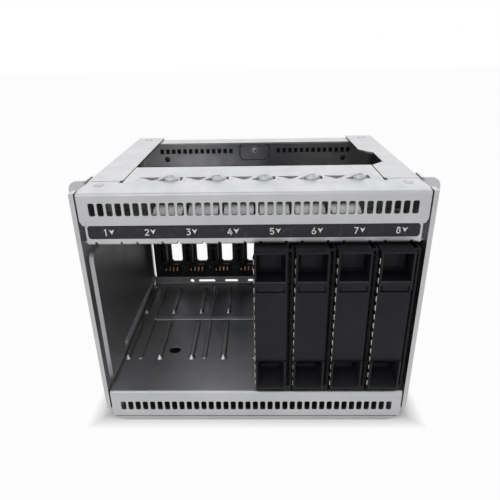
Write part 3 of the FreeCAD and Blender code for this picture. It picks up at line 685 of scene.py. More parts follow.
@dataclass
class Palette:
    """Every material of the cage, built once."""

    zinc: Material = kept(SheetSteel())
    # Painted shade, lighter: the crossmember's copy of the zinc darkens its inward faces less than
    # the plain zinc.
    rear: Material = kept(SheetSteel("zinc_crossmember", painted_shade=(0.36, 0.365, 0.385)))
    # Glossier, and with much lighter painted shade, so that the floor noses show as a painted
    # highlight.
    glossy_less_shaded: Material = kept(SheetSteel(
        "zinc_glossy_less_shaded", gloss=(0.3, 0.38), painted_shade=(0.36, 0.365, 0.385)))
    # Less metallic, and with lighter painted shade than the plain zinc, for the cross bead.
    rolled: Material = kept(SheetSteel("zinc_less_shaded", metallic=0.5, painted_shade=(0.2, 0.205, 0.22)))
    # Much less metallic and almost free of painted shade, so that the wall swages show as a light
    # band: a painted highlight.
    barely_shaded: Material = kept(SheetSteel("zinc_barely_shaded", metallic=0.3, painted_shade=(0.85, 0.86, 0.9)))
    fastener: Material = kept(DrawnMetal(
        "fastener_steel", (0.66, 0.665, 0.67), (0.52, 0.52, 0.51), (0.25, 0.4)))
    plastic: Material = kept(MouldedPlastic())
    # Painted highlight: a plastic several times lighter than the moulding, for the bead that stands
    # in for the bright line along the ledge.
    highlight_plastic: Material = kept(MouldedPlastic(
        "plastic_painted_highlight", (0.030, 0.028, 0.034), (0.048, 0.045, 0.053), (0.35, 0.45)))
    connector: Material = kept(MouldedPlastic(
        "connector_black", (0.010, 0.010, 0.011), (0.016, 0.016, 0.017), (0.38, 0.5)))
    mask: Material = kept(SolderMask())
    copper: Material = kept(DrawnMetal(
        "sprung_copper", (0.46, 0.25, 0.15), (0.20, 0.11, 0.07), (0.25, 0.4)))
    shell: Material = kept(DrawnMetal("nickel_shell", (0.64, 0.63, 0.60), (0.50, 0.49, 0.46)))
    brass: Material = kept(DrawnMetal("turned_brass", (0.72, 0.58, 0.30), (0.55, 0.42, 0.20)))
    spring: Material = kept(DrawnMetal(
        "spring_strip", (0.70, 0.69, 0.68), (0.50, 0.49, 0.48), (0.2, 0.34)))
    # Painted shade: a near black metal for the spring carrier, which stands in for the deep shade
    # behind the fingers; the rail screws take it too.
    carrier: Material = kept(DrawnMetal(
        "spring_carrier", (0.10, 0.10, 0.10), (0.05, 0.05, 0.05), (0.35, 0.5)))
    film: Material = kept(PrintedFilm(
        "label_black", (0.012, 0.010, 0.016), (0.05, 0.05, 0.055)))
    ceramic: Material = kept(PrintedFilm(
        "part_ceramic", (0.16, 0.12, 0.08), (0.34, 0.33, 0.31)))
    ink: Material = kept(PrintedFilm("label_white", (0.78, 0.78, 0.76), (0.60, 0.60, 0.58)))


# ---------------------------------------------------------------- repeated pieces


class Fittings:
    """The Geometry Nodes trees of what repeats on the cage."""

    def __init__(self) -> None:
        """Builds each tree once."""
        self.boss = self.boss_tree()
        self.screw = self.screw_tree()
        self.rim = self.rim_tree()
        self.lattice = self.lattice_tree()
        self.finger = self.finger_tree()
        self.bow = self.bow_tree()
        self.chip = self.chip_tree()

    @staticmethod
    def boss_tree() -> GeometryTree:
        """A clinched boss: a low dome inside a rolled ring, on every point.

        Returns:
            The tree.
        """
        tree = GeometryTree("clinch_boss", {
            "Radius": 2.1 * MM, "Rise": 0.45 * MM, "Turn": (0.0, 0.0, 0.0)})
        radius, rise = tree.given["Radius"], tree.given["Rise"]
        ball = tree.add("MeshUVSphere", {"Segments": 28, "Rings": 14, "Radius": 1.0})
        inner = tree.times(radius, 0.72)
        dome = tree.moved(ball, scaled=tree.vector(inner, inner, rise))
        ring = tree.add("CurvePrimitiveCircle", {"Resolution": 32, "Radius": radius})
        section = {"Resolution": 8, "Radius": tree.times(rise, 0.5)}
        bead = tree.add("CurvePrimitiveCircle", section)
        rolled = tree.add("CurveToMesh", {"Curve": ring, "Profile Curve": bead})
        return tree.placed(tree.joined(dome, rolled), turn=tree.given["Turn"])

    @staticmethod
    def screw_tree() -> GeometryTree:
        """A domed screw with a collar and a short shank, on every point.

        Returns:
            The tree.
        """
        tree = GeometryTree("domed_screw", {
            "Radius": 2.4 * MM, "Height": 1.5 * MM, "Shank": 3.0 * MM, "Turn": (0.0, 0.0, 0.0)})
        radius, height, shank = (tree.given[name] for name in ("Radius", "Height", "Shank"))
        ball = tree.add("MeshUVSphere", {"Segments": 24, "Rings": 12, "Radius": 1.0})
        head = tree.moved(ball, scaled=tree.vector(radius, radius, height))
        collar = tree.add("MeshCylinder", {
            "Vertices": 24, "Radius": tree.times(radius, 1.15), "Depth": tree.times(height, 0.4)})
        core = tree.add("MeshCylinder", {
            "Vertices": 16, "Radius": tree.times(radius, 0.5), "Depth": shank})
        sunk = tree.vector(0.0, 0.0, tree.times(shank, -0.5))
        whole = tree.joined(head, collar, tree.moved(core, sunk))
        return tree.placed(whole, turn=tree.given["Turn"])

    @staticmethod
    def rim_tree() -> GeometryTree:
        """A rounded lining for an upright slot in an X-Z sheet, on every point.

        Returns:
            The tree.
        """
        tree = GeometryTree("slot_rim", {
            "Width": 2.45 * MM, "Height": 5.4 * MM, "Corner": 0.9 * MM,
            "Wall": 0.3 * MM, "Depth": 1.0 * MM})
        outline = tree.add("CurvePrimitiveQuadrilateral", {
            "Width": tree.given["Width"], "Height": tree.given["Height"]})
        values = {"Curve": outline, "Count": 5, "Radius": tree.given["Corner"]}
        loop = tree.add("FilletCurve", values, mode="POLY")
        ring = tree.strip(loop, tree.given["Wall"], tree.given["Depth"], 0.08 * MM)
        return tree.placed(tree.moved(ring, turned=FORWARD))

    @staticmethod
    def lattice_tree() -> GeometryTree:
        """An upright strip of diamond cells in the X-Z plane, from every point upwards.

        Returns:
            The tree.
        """
        tree = GeometryTree("vent_lattice", {
            "Rows": 45, "Columns": 2, "Half Width": 0.62 * MM, "Half Height": 0.86 * MM,
            "Wall": 0.34 * MM, "Depth": 0.5 * MM})
        half_x, half_z = tree.given["Half Width"], tree.given["Half Height"]
        ring = tree.add("CurvePrimitiveCircle", {"Resolution": 4, "Radius": 1.0})
        cell = tree.moved(ring, scaled=tree.vector(half_x, half_z, 1.0))
        wall = tree.strip(cell, tree.given["Wall"], tree.given["Depth"], 0.05 * MM)
        pitch = tree.vector(0.0, 0.0, tree.times(half_z, 2.0))
        line = tree.add("MeshLine", {"Count": tree.given["Rows"], "Offset": pitch})
        column = tree.copies(line, tree.moved(wall, turned=FORWARD))
        across = tree.add("MeshLine", {
            "Count": tree.given["Columns"], "Offset": tree.vector(half_x, 0.0, half_z)})
        return tree.placed(tree.copies(across, column))

    @staticmethod
    def finger_tree() -> GeometryTree:
        """A column of bowed grounding fingers on a spring strip, facing -X.

        Returns:
            The tree.
        """
        tree = GeometryTree("ground_fingers", {
            "Count": 16, "Pitch": 4.5 * MM, "Length": 2.7 * MM, "Depth": 6.4 * MM,
            "Bow": 0.45 * MM, "Lead": 0.12, "Thickness": 0.16 * MM})
        depth = tree.given["Depth"]
        out, ahead = tree.times(tree.given["Bow"], -2.0), tree.times(depth, tree.given["Lead"])
        bow = tree.add("CurveQuadraticBezier", {
            "Resolution": 10, "Start": (0, 0, 0), "Middle": tree.vector(out, ahead, 0.0),
            "End": tree.vector(0.0, depth, 0.0)})
        blade = tree.strip(bow, tree.given["Thickness"], tree.given["Length"], 0.05 * MM)
        step = tree.vector(0.0, 0.0, tree.given["Pitch"])
        line = tree.add("MeshLine", {"Count": tree.given["Count"], "Offset": step})
        return tree.placed(tree.copies(line, blade))

    @staticmethod
    def bow_tree() -> GeometryTree:
        """An upright sprung contact that bows towards the front, on every point.

        Returns:
            The tree.
        """
        tree = GeometryTree("bowed_contact", {
            "Height": 5.4 * MM, "Reach": 1.9 * MM, "Width": 0.7 * MM, "Thickness": 0.22 * MM})
        half = tree.times(tree.given["Height"], 0.5)
        out = tree.times(tree.given["Reach"], -2.0)
        bow = tree.add("CurveQuadraticBezier", {
            "Resolution": 12, "Start": tree.vector(0.0, 0.0, tree.times(half, -1.0)),
            "Middle": tree.vector(0.0, out, 0.0), "End": tree.vector(0.0, 0.0, half)})
        width, thickness = tree.given["Width"], tree.given["Thickness"]
        return tree.placed(tree.strip(bow, width, thickness, 0.05 * MM))

    @staticmethod
    def chip_tree() -> GeometryTree:
        """A small surface part on every point, scaled at random.

        Returns:
            The tree.
        """
        tree = GeometryTree("surface_part", {
            "Length": 1.6 * MM, "Width": 0.8 * MM, "Height": 0.6 * MM, "Seed": 7})
        size = tree.vector(tree.given["Width"], tree.given["Height"], tree.given["Length"])
        brick = tree.add("MeshCube", {"Size": size})
        drawn = wire(tree.tree, "FunctionNodeRandomValue", {
            "Min": 0.7, "Max": 1.5, "Seed": tree.given["Seed"]}, data_type="FLOAT").outputs[1]
        return tree.placed(brick, tree.vector(drawn, 1.0, drawn))


# ---------------------------------------------------------------- sub-assemblies


@dataclass
class Assembly:
    """What each sub-assembly is given, and how it replaces a solid."""

    frame: dict
    palette: Palette
    fittings: Fittings

    def replace(self, node: str, name: str, ease: float, material: Material,
                body: str, finish: Finish) -> None:
        """Replaces a solid with a softened copy.

        Args:
            node: The solid's node.
            name: The copy's name.
            ease: Width of the rounding.
            material: The copy's material.
            body: The body that it moves with.
            finish: The record's slot for its finish.
        """
        copy = softened(self.frame["nodes"][node], name, ease, material)
        dressed(copy, body, finish, node)


@dataclass
class Sheetwork(Assembly):
    """The folded sheets of the cage with softened edges, lined vents and fasteners.

    Places in Y count from the front of the upper panel, unless a comment says otherwise.
    """

    fold_ease: float = 0.14 * MM
    sheet: float = 1.0 * MM
    vent_count: int = 37
    vent_pitch: float = 3.68 * MM
    vent_width: float = 2.6 * MM
    vent_corner: float = 0.55 * MM
    upper_vent: Pair = (5.6 * MM, 7.0 * MM)  # height, and its middle above the sheet's foot
    lower_vent: Pair = (5.1 * MM, 9.05 * MM)
    rim_wall: float = 0.2 * MM
    rim_proud: float = 0.02 * MM
    boss_x: float = 66.0 * MM
    boss_front: float = 12.5 * MM
    boss_rear: float = 6.0 * MM  # in front of the side wall's back end
    rivet_ys: tuple[float, ...] = (54.0 * MM, 79.0 * MM, 104.0 * MM)
    rivet_height: float = 12.8 * MM
    rivet_radius: float = 1.9 * MM
    pad_height: float = 112.2 * MM
    pad_recess: float = 1.75 * MM  # in front of the crossmember's back
    rail_screw_place: Pair = (56.3 * MM, 106.2 * MM)  # X and Z
    board_screw_xs: tuple[float, ...] = (-63.5 * MM, -21.0 * MM, 21.0 * MM, 63.5 * MM)
    board_screw_drop: float = 3.4 * MM
    wall_face: float = 72.75 * MM
    tab_depth: float = 7.0 * MM
    tab_lap: float = 0.2 * MM
    tab_gaps: Pair = (0.4 * MM, 2.6 * MM)  # below and above
    small_ease: float = 0.15 * MM
    floor_top: float = 17.8 * MM
    nose_ys: Pair = (25.4 * MM, 72.0 * MM)
    nose_size: Pair = (2.2 * MM, 1.9 * MM)  # radius and rise
    nose_taper: float = 0.3
    bead_place: float = 66.0 * MM
    bead_size: Size = (64.0 * MM, 1.7 * MM, 0.75 * MM)  # half length, half width and rise
    bead_sunk: float = 0.2 * MM
    bead_ease: float = 0.5 * MM
    swage_size: Pair = (1.8 * MM, 1.1 * MM)  # half height, and reach from the wall
    swage_crown: Pair = (-0.35, 0.15)  # the flat top, in half heights
    swage_place: Pair = (71.5 * MM, 24.8 * MM)  # X and Z
    swage_span: Pair = (31.0 * MM, 110.0 * MM)
    swage_ease: float = 0.3 * MM
    crest_pitch: float = 20.7 * MM
    crest_place: Pair = (5.2 * MM, 21.0 * MM)
    crest_size: Size = (3.3 * MM, 3.5 * MM, 2.3 * MM)
    guide_near: Pair = (31.0 * MM, 97.7 * MM)  # Y and Z
    guide_far: Pair = (42.6 * MM, 101.4 * MM)
    guide_sheet: float = 0.8 * MM
    guide_gap: float = 2.9 * MM

    NODES = ("upper_front_panel", "upper_guide", "left_side_wall", "right_side_wall",
             "left_ear", "right_ear", "floor_plate", "rear_crossmember")
    PAD_SCREW = {"Radius": 1.7 * MM, "Height": 0.9 * MM, "Shank": 1.2 * MM, "Turn": FORWARD}
    RAIL_SCREW = {"Radius": 1.5 * MM, "Height": 0.6 * MM, "Shank": 1.1 * MM, "Turn": FORWARD}
    BOARD_SCREW = {"Radius": 2.0 * MM, "Height": 1.2 * MM, "Turn": FORWARD}

    @property
    def front(self) -> float:
        """Where the front of the upper panel stands."""
        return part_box("upper_front_panel")[0].y

    @staticmethod
    def repeat(tree: GeometryTree, name: str, material: Material, sizes: dict[str, object],
               points: Iterable[Point]) -> None:
        """Makes a piece of the cage with a copy of a small form on every point."""
        dressed(tree.make(name, material, sizes, points), "cage", Finish.ZINC)

    @staticmethod
    def press(name: str, shapes: Iterable[Solid], material: Material) -> None:
        """Joins solids into a piece of the cage."""
        dressed(piece_from(name, shapes, material), "cage", Finish.ZINC)

    def soften(self) -> None:
        """Replaces each folded sheet with a copy whose edges are rounded."""
        for node in self.NODES:
            # The crossmember takes the copy of the zinc with lighter painted shade.
            sheet = self.palette.rear if node == "rear_crossmember" else self.palette.zinc
            self.replace(node, f"{node}_sheet", self.fold_ease, sheet, "cage", Finish.ZINC)

    def line_vents(self) -> None:
        """Lines both front rows of vents with rounded punched edges."""
        start = -(self.vent_count - 1) / 2 * self.vent_pitch
        for name, node, (height, above) in (("upper", "upper_front_panel", self.upper_vent),
                                            ("lower", "floor_plate", self.lower_vent)):
            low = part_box(node)[0]
            points = [(start + index * self.vent_pitch, low.y + self.sheet / 2, low.z + above)
                      for index in range(self.vent_count)]
            sizes = {"Width": self.vent_width + self.rim_wall, "Height": height + self.rim_wall,
                     "Corner": self.vent_corner, "Wall": self.rim_wall,
                     "Depth": self.sheet + self.rim_proud}
            self.repeat(self.fittings.rim, f"{name}_vent_edges", self.palette.zinc, sizes, points)

    def add_bosses(self) -> None:
        """Adds the clinched bosses on the top and the rivets in both sides."""
        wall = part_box("right_side_wall")[1]
        points = [(side * self.boss_x, y, wall.z) for side in (-1, 1)
                  for y in (self.front + self.boss_front, wall.y - self.boss_rear)]
        self.repeat(self.fittings.boss, "top_bosses", self.palette.zinc, {}, points)
        for side, name in ((-1, "left"), (1, "right")):
            spots = [(side * (wall.x - self.sheet), self.front + y, self.rivet_height)
                     for y in self.rivet_ys]
            sizes = {"Radius": self.rivet_radius, "Turn": (0.0, side * math.pi / 2, 0.0)}
            self.repeat(self.fittings.boss, f"{name}_rivets", self.palette.fastener, sizes, spots)

    def add_screws(self) -> None:
        """Adds the screws of the crossmember, its end tabs and the screws of the backplane."""
        screw = self.fittings.screw
        low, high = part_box("rear_crossmember")
        pad = [(0.0, high.y - self.pad_recess, self.pad_height)]
        self.repeat(screw, "pad_screw", self.palette.fastener, self.PAD_SCREW, pad)
        x, z = self.rail_screw_place
        pair = [(-x, high.y - self.sheet, z), (x, high.y - self.sheet, z)]
        # The rail screws take the near black metal of the spring carrier.
        self.repeat(screw, "rail_screws", self.palette.carrier, self.RAIL_SCREW, pair)
        tabs = []
        for side in (-1, 1):
            ends = sorted((side * (high.x - self.tab_lap), side * self.wall_face))
            tab = slab((ends[0], high.y - self.tab_depth, low.z + self.tab_gaps[0]),
                       (ends[1], high.y - self.tab_lap, high.z - self.tab_gaps[1]))
            tabs.append(eased(tab, self.small_ease))
        self.press("rail_returns", tabs, self.palette.rear)
        low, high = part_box("backplane_board")
        spots = [(x, low.y, high.z - self.board_screw_drop) for x in self.board_screw_xs]
        self.repeat(screw, "board_screws", self.palette.fastener, self.BOARD_SCREW, spots)

    def add_noses(self) -> None:
        """Adds the rounded noses of the floor ribs."""
        radius, rise = self.nose_size
        noses = []
        for edge in range(-4, 5):
            for start in self.nose_ys:
                nose = bmesh.new()
                place = Matrix.Translation((edge * BAY_PITCH, self.front + start + radius,
                                            self.floor_top + rise / 2))
                bmesh.ops.create_cone(nose, cap_ends=True, segments=32, radius1=radius,
                                      radius2=self.nose_taper * radius, depth=rise, matrix=place)
                noses.append(nose)
        # The noses take a glossier zinc with lighter painted shade: a painted highlight.
        self.press("floor_swages", noses, self.palette.glossy_less_shaded)

    def add_cross_bead(self) -> None:
        """Adds the bead that runs across the floor."""
        along, half, rise = self.bead_size
        middle = self.front + self.bead_place
        bead = slab((-along, middle - half, self.floor_top - self.bead_sunk),
                    (along, middle + half, self.floor_top + rise))
        # The bead takes the less metallic zinc with lighter painted shade.
        self.press("floor_cross_bead", [eased(bead, self.bead_ease, 3)], self.palette.rolled)

    def add_wall_swages(self) -> None:
        """Adds the swage low on each side wall."""
        half, reach = self.swage_size
        below, above = (share * half for share in self.swage_crown)
        x, height = self.swage_place
        start, end = self.swage_span
        swages = []
        for side in (-1, 1):
            outer, inner = side * x, side * (x - reach)
            profile = [(outer, 0, height - half), (inner, 0, height + below),
                       (inner, 0, height + above), (outer, 0, height + half)]
            loop = profile if side < 0 else profile[::-1]
            bar = prism(loop, (0, self.front + start, 0), (0, end - start, 0))
            swages.append(eased(bar, self.swage_ease, 3))
        # The swages take the zinc that is almost free of painted shade, as a painted highlight.
        self.press("wall_swages", swages, self.palette.barely_shaded)

    def add_guide_tabs(self) -> None:
        """Adds the sloping tabs behind the upper vents of the six middle bays."""
        near, low = self.guide_near
        far, high = self.guide_far
        near, far = self.front + near, self.front + far
        profile = [(0, near, low), (0, far, high),
                   (0, far, high - self.guide_sheet), (0, near, low - self.guide_sheet)]
        along = (BAY_PITCH - self.guide_gap, 0, 0)
        tabs = [eased(prism(profile, (edge * BAY_PITCH + self.guide_gap, 0, 0), along),
                      self.small_ease) for edge in range(-3, 3)]
        self.press("guide_tabs", tabs, self.palette.zinc)

    def add_crests(self) -> None:
        """Adds the full rounded crest in front of each wavy finger of the top plate."""
        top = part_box("upper_front_panel")[1].z
        size = Matrix.Diagonal((*self.crest_size, 1))
        right, back = self.crest_place
        crests = []
        for place in range(-2, 3):
            crest = bmesh.new()
            middle = Matrix.Translation((place * self.crest_pitch + right, self.front + back,
                                         top - self.crest_size[2]))
            bmesh.ops.create_uvsphere(crest, u_segments=32, v_segments=20, radius=1.0,
                                      matrix=middle @ size)
            crests.append(crest)
        self.press("finger_crests", crests, self.palette.zinc)

    def build(self) -> None:
        """Builds every piece of the sheetwork."""
        self.soften()
        self.line_vents()
        self.add_bosses()
        self.add_screws()
        self.add_noses()
        self.add_cross_bead()
        self.add_wall_swages()
        self.add_guide_tabs()
        self.add_crests()


def arc(middle: Point, radius: float, start: float, end: float, steps: int = 10) -> list[Point]:
    """Sets points along an arc.

    Args:
        middle: The arc's centre.
        radius: Its radius.
        start: The angle of its first point, in degrees.
        end: The angle of its last point, in degrees.
        steps: The number of parts.

    Returns:
        The points, one more than the parts.
    """
    turns = [math.radians(start + (end - start) * step / steps) for step in range(steps + 1)]
    return [(middle[0] + radius * math.cos(turn), middle[1] + radius * math.sin(turn))
            for turn in turns]


class Glyphs:
    """The bay digits as pen strokes in a box that is one unit high."""

    PEN = 0.15
    LEAST_LEAN = 0.55
    STROKES: dict[int, list[list[Point]]] = {
        1: [[(-0.15, 0.30), (0.06, 0.44), (0.06, -0.5)]],
        2: [arc((0.0, 0.19), 0.24, 165, -35) + [(-0.24, -0.425), (0.29, -0.425)]],
        3: [[(-0.24, 0.425), (0.22, 0.425), (-0.01, 0.09)] + arc((0.0, -0.165), 0.26, 85, -150)],
        4: [[(0.06, 0.48), (-0.29, -0.2), (0.32, -0.2)], [(0.13, 0.16), (0.13, -0.5)]],
        5: [[(0.24, 0.425), (-0.18, 0.425), (-0.21, 0.05)]
            + arc((-0.01, -0.155), 0.265, 130, -145)],
        6: [[(0.1, 0.5), (-0.22, -0.03)],
            arc((0, -0.19), 0.25, 0, 180, 14), arc((0, -0.19), 0.25, 180, 360, 14)],
        7: [[(-0.27, 0.425), (0.24, 0.425), (-0.1, -0.5)]],
        8: [arc((0, 0.235), 0.185, 0, 180), arc((0, 0.235), 0.185, 180, 360),
            arc((0, -0.19), 0.235, 0, 180), arc((0, -0.19), 0.235, 180, 360)],
    }

    @classmethod
    def outline(cls, stroke: Sequence[Point]) -> list[Point]:
        """Widens a stroke to the outline that the pen leaves.

        Args:
            stroke: Points of the stroke's middle line.

        Returns:
            The closed outline, once round.
        """
        points = [Vector(point) for point in stroke]
        left, right = [], []
        for index, point in enumerate(points):
            before = (point - points[index - 1]).normalized() if index else None
            after = (points[index + 1] - point).normalized() if index + 1 < len(points) else None
            heading = ((before or after) + (after or before)).normalized()
            side = Vector((-heading.y, heading.x))
            reach = side * (cls.PEN / 2 / max(cls.LEAST_LEAN, heading.dot(after or before)))
            left.append(point + reach)
            right.append(point - reach)
        return [tuple(point) for point in left + right[::-1]]


@dataclass
class NumberStrip(Assembly):
    """The black strip with the bay numbers and a small arrow beside each."""

    ease: float = 0.08 * MM
    digit_height: float = 3.0 * MM
    digit_shift: float = -0.75 * MM
    arrow_shift: float = 1.9 * MM
    arrow_rise: float = 0.25 * MM
    arrow_half: float = 1.16 * MM
    arrow_notch: float = 0.4
    print_depth: float = 0.03 * MM

    def printed(self, outline: Sequence[Point], place: Vector) -> Solid:
        """Makes one thin solid of ink from its outline and its place on the strip's face."""
        start = place + Vector((0, -self.print_depth, 0))
        return prism([(x, 0, z) for x, z in outline], start, (0, 2 * self.print_depth, 0))

    def digit(self, number: int, place: Vector) -> list[Solid]:
        """Makes one bay number, with one solid for each of its strokes."""
        return [self.printed([(x * self.digit_height, z * self.digit_height)
                              for x, z in Glyphs.outline(stroke)], place)
                for stroke in Glyphs.STROKES[number]]

    def arrow(self, place: Vector) -> Solid:
        """Makes the notched arrow that points down at a bay.

        Args:
            place: The arrow's middle.

        Returns:
            One thin solid.
        """
        half = self.arrow_half
        outline = [(-half, half), (0, self.arrow_notch * half), (half, half), (0, -half)]
        return self.printed(outline, place)

    def build(self) -> None:
        """Builds the strip and what is printed on it."""
        self.replace("number_label", "number_strip_film", self.ease, self.palette.film,
                     "cage", Finish.LABEL)
        low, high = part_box("number_label")
        middle = (low.z + high.z) / 2
        marks = []
        for bay in range(BAYS):
            x = (bay + 0.5 - BAYS / 2) * BAY_PITCH
            marks.extend(self.digit(bay + 1, Vector((x + self.digit_shift, low.y, middle))))
            point = Vector((x + self.arrow_shift, low.y, middle + self.arrow_rise))
            marks.append(self.arrow(point))
        numbers = piece_from("bay_numbers", marks, self.palette.ink)
        dressed(numbers, "cage", Finish.LABEL)


@dataclass
class BayBlank(Assembly):
    """One bay blank: its body, vented edge, grounding strip and latch."""

    bay: int
    ease: float = 0.26 * MM
    face_width: float = 14.15 * MM
    wall: float = 0.9 * MM
    bead: float = 0.3 * MM
    ledge_below_latch: float = 3.2 * MM
    guard: float = 0.8 * MM
    vent_setback: float = 2.8 * MM
    vent_wall: float = 0.3 * MM
    cell_rise: float = 1.05
    chin_height: float = 6.0 * MM
    carrier_depth: float = 0.25 * MM
    carrier_ease: float = 0.05 * MM
    finger_count: int = 15
    finger_setback: float = 0.2 * MM
    finger_share: float = 0.58
    finger_bow: float = 0.5 * MM
    finger_lead: float = 0.06
    latch_ease: float = 0.2 * MM
    ridge_ease: float = 0.12 * MM
    ridge_sunk: float = 0.2 * MM
    ridge_span: Pair = (0.5 * MM, 7.6 * MM)

    RIDGES = ((-4.1, 0.7, 0.35), (2.3, 0.5, 0.3), (3.3, 0.5, 0.3), (4.2, 0.7, 0.35))

    def name(self, part: str) -> str:
        """The name of a node or piece of this blank."""
        return f"blank_{self.bay}_{part}"

    def ride(self, piece: Piece, finish: Finish, *nodes: str) -> None:
        """Puts a finished piece on the sliding body of this blank."""
        dressed(piece, f"blank_{self.bay}", finish, *nodes)

    def body(self) -> None:
        """Replaces the blank's body with a softened copy and beads its ledge."""
        self.replace(self.name("body"), self.name("moulding"), self.ease, self.palette.plastic,
                     f"blank_{self.bay}", Finish.BLANK)
        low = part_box(self.name("body"))[0]
        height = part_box(self.name("latch"))[0].z - self.ledge_below_latch
        bead = slab((low.x + self.wall, low.y - self.bead, height - 2 * self.bead),
                    (low.x + self.face_width - self.wall, low.y + 2 * self.bead, height))
        # The bead takes the lighter plastic: a painted highlight along the ledge's edge.
        ledge = piece_from(self.name("ledge_bead"), [eased(bead, 0.9 * self.bead, 3)],
                           self.palette.highlight_plastic)
        self.ride(ledge, Finish.BLANK)

    def lattice(self) -> None:
        """Adds the perforated strip beside the face."""
        low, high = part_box(self.name("body"))
        left, right = low.x + self.face_width, high.x - self.guard / 2
        top, bottom = high.z - self.chin_height / 4, low.z + self.chin_height
        half_x = (right - left) / 4
        half_z = self.cell_rise * half_x
        rows = int((top - bottom) / (2 * half_z)) - 1
        start = (left + 1.5 * half_x, low.y + self.vent_setback, bottom + half_z)
        sizes = {"Rows": rows, "Columns": 2, "Half Width": half_x, "Half Height": half_z,
                 "Wall": self.vent_wall}
        strip = self.fittings.lattice.make(self.name("vent_lattice"), self.palette.plastic,
                                           sizes, [start])
        self.ride(strip, Finish.BLANK)

    def ground_spring(self) -> None:
        """Replaces the grounding strip with bowed fingers on a thin carrier."""
        node = self.name("ground_spring")
        low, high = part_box(node)
        root = high.x - self.carrier_depth
        carrier = eased(slab((root, low.y, low.z), tuple(high)), self.carrier_ease)
        # The carrier takes the near black metal: painted shade behind the fingers.
        strip = piece_from(self.name("spring_carrier"), [carrier], self.palette.carrier)
        self.ride(strip, Finish.SPRING, node)
        pitch = (high.z - low.z) / self.finger_count
        start = (root, low.y + self.finger_setback, low.z + pitch / 2)
        sizes = {"Count": self.finger_count, "Pitch": pitch, "Length": self.finger_share * pitch,
                 "Bow": self.finger_bow, "Lead": self.finger_lead}
        fingers = self.fittings.finger.make(self.name("spring_fingers"), self.palette.spring,
                                            sizes, [start])
        self.ride(fingers, Finish.SPRING)

    def latch(self) -> None:
        """Replaces the latch with a softened copy and puts grip ridges on its plate."""
        node = self.name("latch")
        self.replace(node, self.name("latch_moulding"), self.latch_ease, self.palette.plastic,
                     f"latch_{self.bay}", Finish.BLANK)
        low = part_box(node)[0]
        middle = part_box(self.name("body"))[0].x + self.face_width / 2
        foot, top = self.ridge_span
        ridges = []
        for shift, width, rise in self.RIDGES:
            x = middle + shift * MM
            near = (x - width / 2 * MM, low.y - rise * MM, low.z + foot)
            far = (x + width / 2 * MM, low.y + self.ridge_sunk, low.z + top)
            ridges.append(eased(slab(near, far), self.ridge_ease))
        grip = piece_from(self.name("latch_ridges"), ridges, self.palette.plastic)
        dressed(grip, f"latch_{self.bay}", Finish.BLANK)

    def build(self) -> None:
        """Builds the whole blank."""
        self.body()
        self.lattice()
        self.ground_spring()
        self.latch()


@dataclass
class Backplane(Assembly):
    """The backplane with its sockets, contacts, ports and fasteners."""

    ease: float = 0.1 * MM
    pins: int = 4
    pin_pitch: float = 2.6 * MM
    pin_width: float = 0.8 * MM
    bow_width: float = 0.9 * MM
    bow_clearance: float = 0.2 * MM
    socket_half: float = 3.0 * MM
    part_shift: float = 3.9 * MM
    parts_above: Pair = (2.6 * MM, 4.6 * MM)
    parts_below: float = 3.4 * MM

    def dress(self) -> None:
        """Replaces each solid of the backplane with a softened copy."""
        black = self.palette.connector
        plain = {"backplane_board": (self.palette.mask, Finish.BOARD),
                 "drive_sockets": (black, Finish.CONNECTOR),
                 "contact_housings": (black, Finish.CONNECTOR),
                 "power_header": (black, Finish.CONNECTOR),
                 "vent_screen": (black, Finish.SCREEN),
                 "data_ports": (self.palette.shell, Finish.SHELL),
                 "board_standoffs": (self.palette.brass, Finish.BRASS)}
        for node, (material, finish) in plain.items():
            self.replace(node, f"{node}_dressed", self.ease, material, "cage", finish)

    def contacts(self) -> None:
        """Replaces the status contacts with thin strips that bow out of their wells."""
        low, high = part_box("contact_pins")
        first = low.x + self.pin_width / 2
        points = [(first + bay * BAY_PITCH + pin * self.pin_pitch, high.y, (low.z + high.z) / 2)
                  for bay in range(BAYS) for pin in range(self.pins)]
        sizes = {"Height": high.z - low.z, "Reach": high.y - low.y - self.bow_clearance,
                 "Width": self.bow_width}
        bows = self.fittings.bow.make("status_contacts", self.palette.copper, sizes, points)
        dressed(bows, "cage", Finish.COPPER, "contact_pins")

    def small_parts(self) -> None:
        """Adds the small surface parts in rows above and below the sockets."""
        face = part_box("backplane_board")[0].y
        low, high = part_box("drive_sockets")
        levels = [high.z + rise for rise in self.parts_above] + [low.z - self.parts_below]
        points = [(low.x + self.socket_half + bay * BAY_PITCH + side * self.part_shift, face, level)
                  for bay in range(BAYS) for side in (-1, 1) for level in levels]
        chips = self.fittings.chip.make("surface_parts", self.palette.ceramic, {}, points)
        dressed(chips, "cage", Finish.CONNECTOR)

    def build(self) -> None:
        """Builds the whole backplane."""
        self.dress()
        self.contacts()
        self.small_parts()


# ---------------------------------------------------------------- studio


@dataclass(frozen=True)
class Lamp:
    """A soft rectangular lamp that looks at one point of the cage, with its power in watts."""

    name: str
    place: Point
    size: Pair
    power: float
    aim: Point = (0, 0, 0.06)

    def hang(self) -> None:
        """Hangs the lamp in the scene."""
        light = bpy.data.lights.new(self.name, "AREA")
        light.shape = "RECTANGLE"
        light.size, light.size_y = self.size
        light.energy = self.power
        lamp = linked(bpy.data.objects.new(self.name, light))
        lamp.location = self.place
        way = Vector(self.aim) - Vector(self.place)
        lamp.rotation_euler = way.to_track_quat("-Z", "Y").to_euler()
        lamp.visible_camera = False


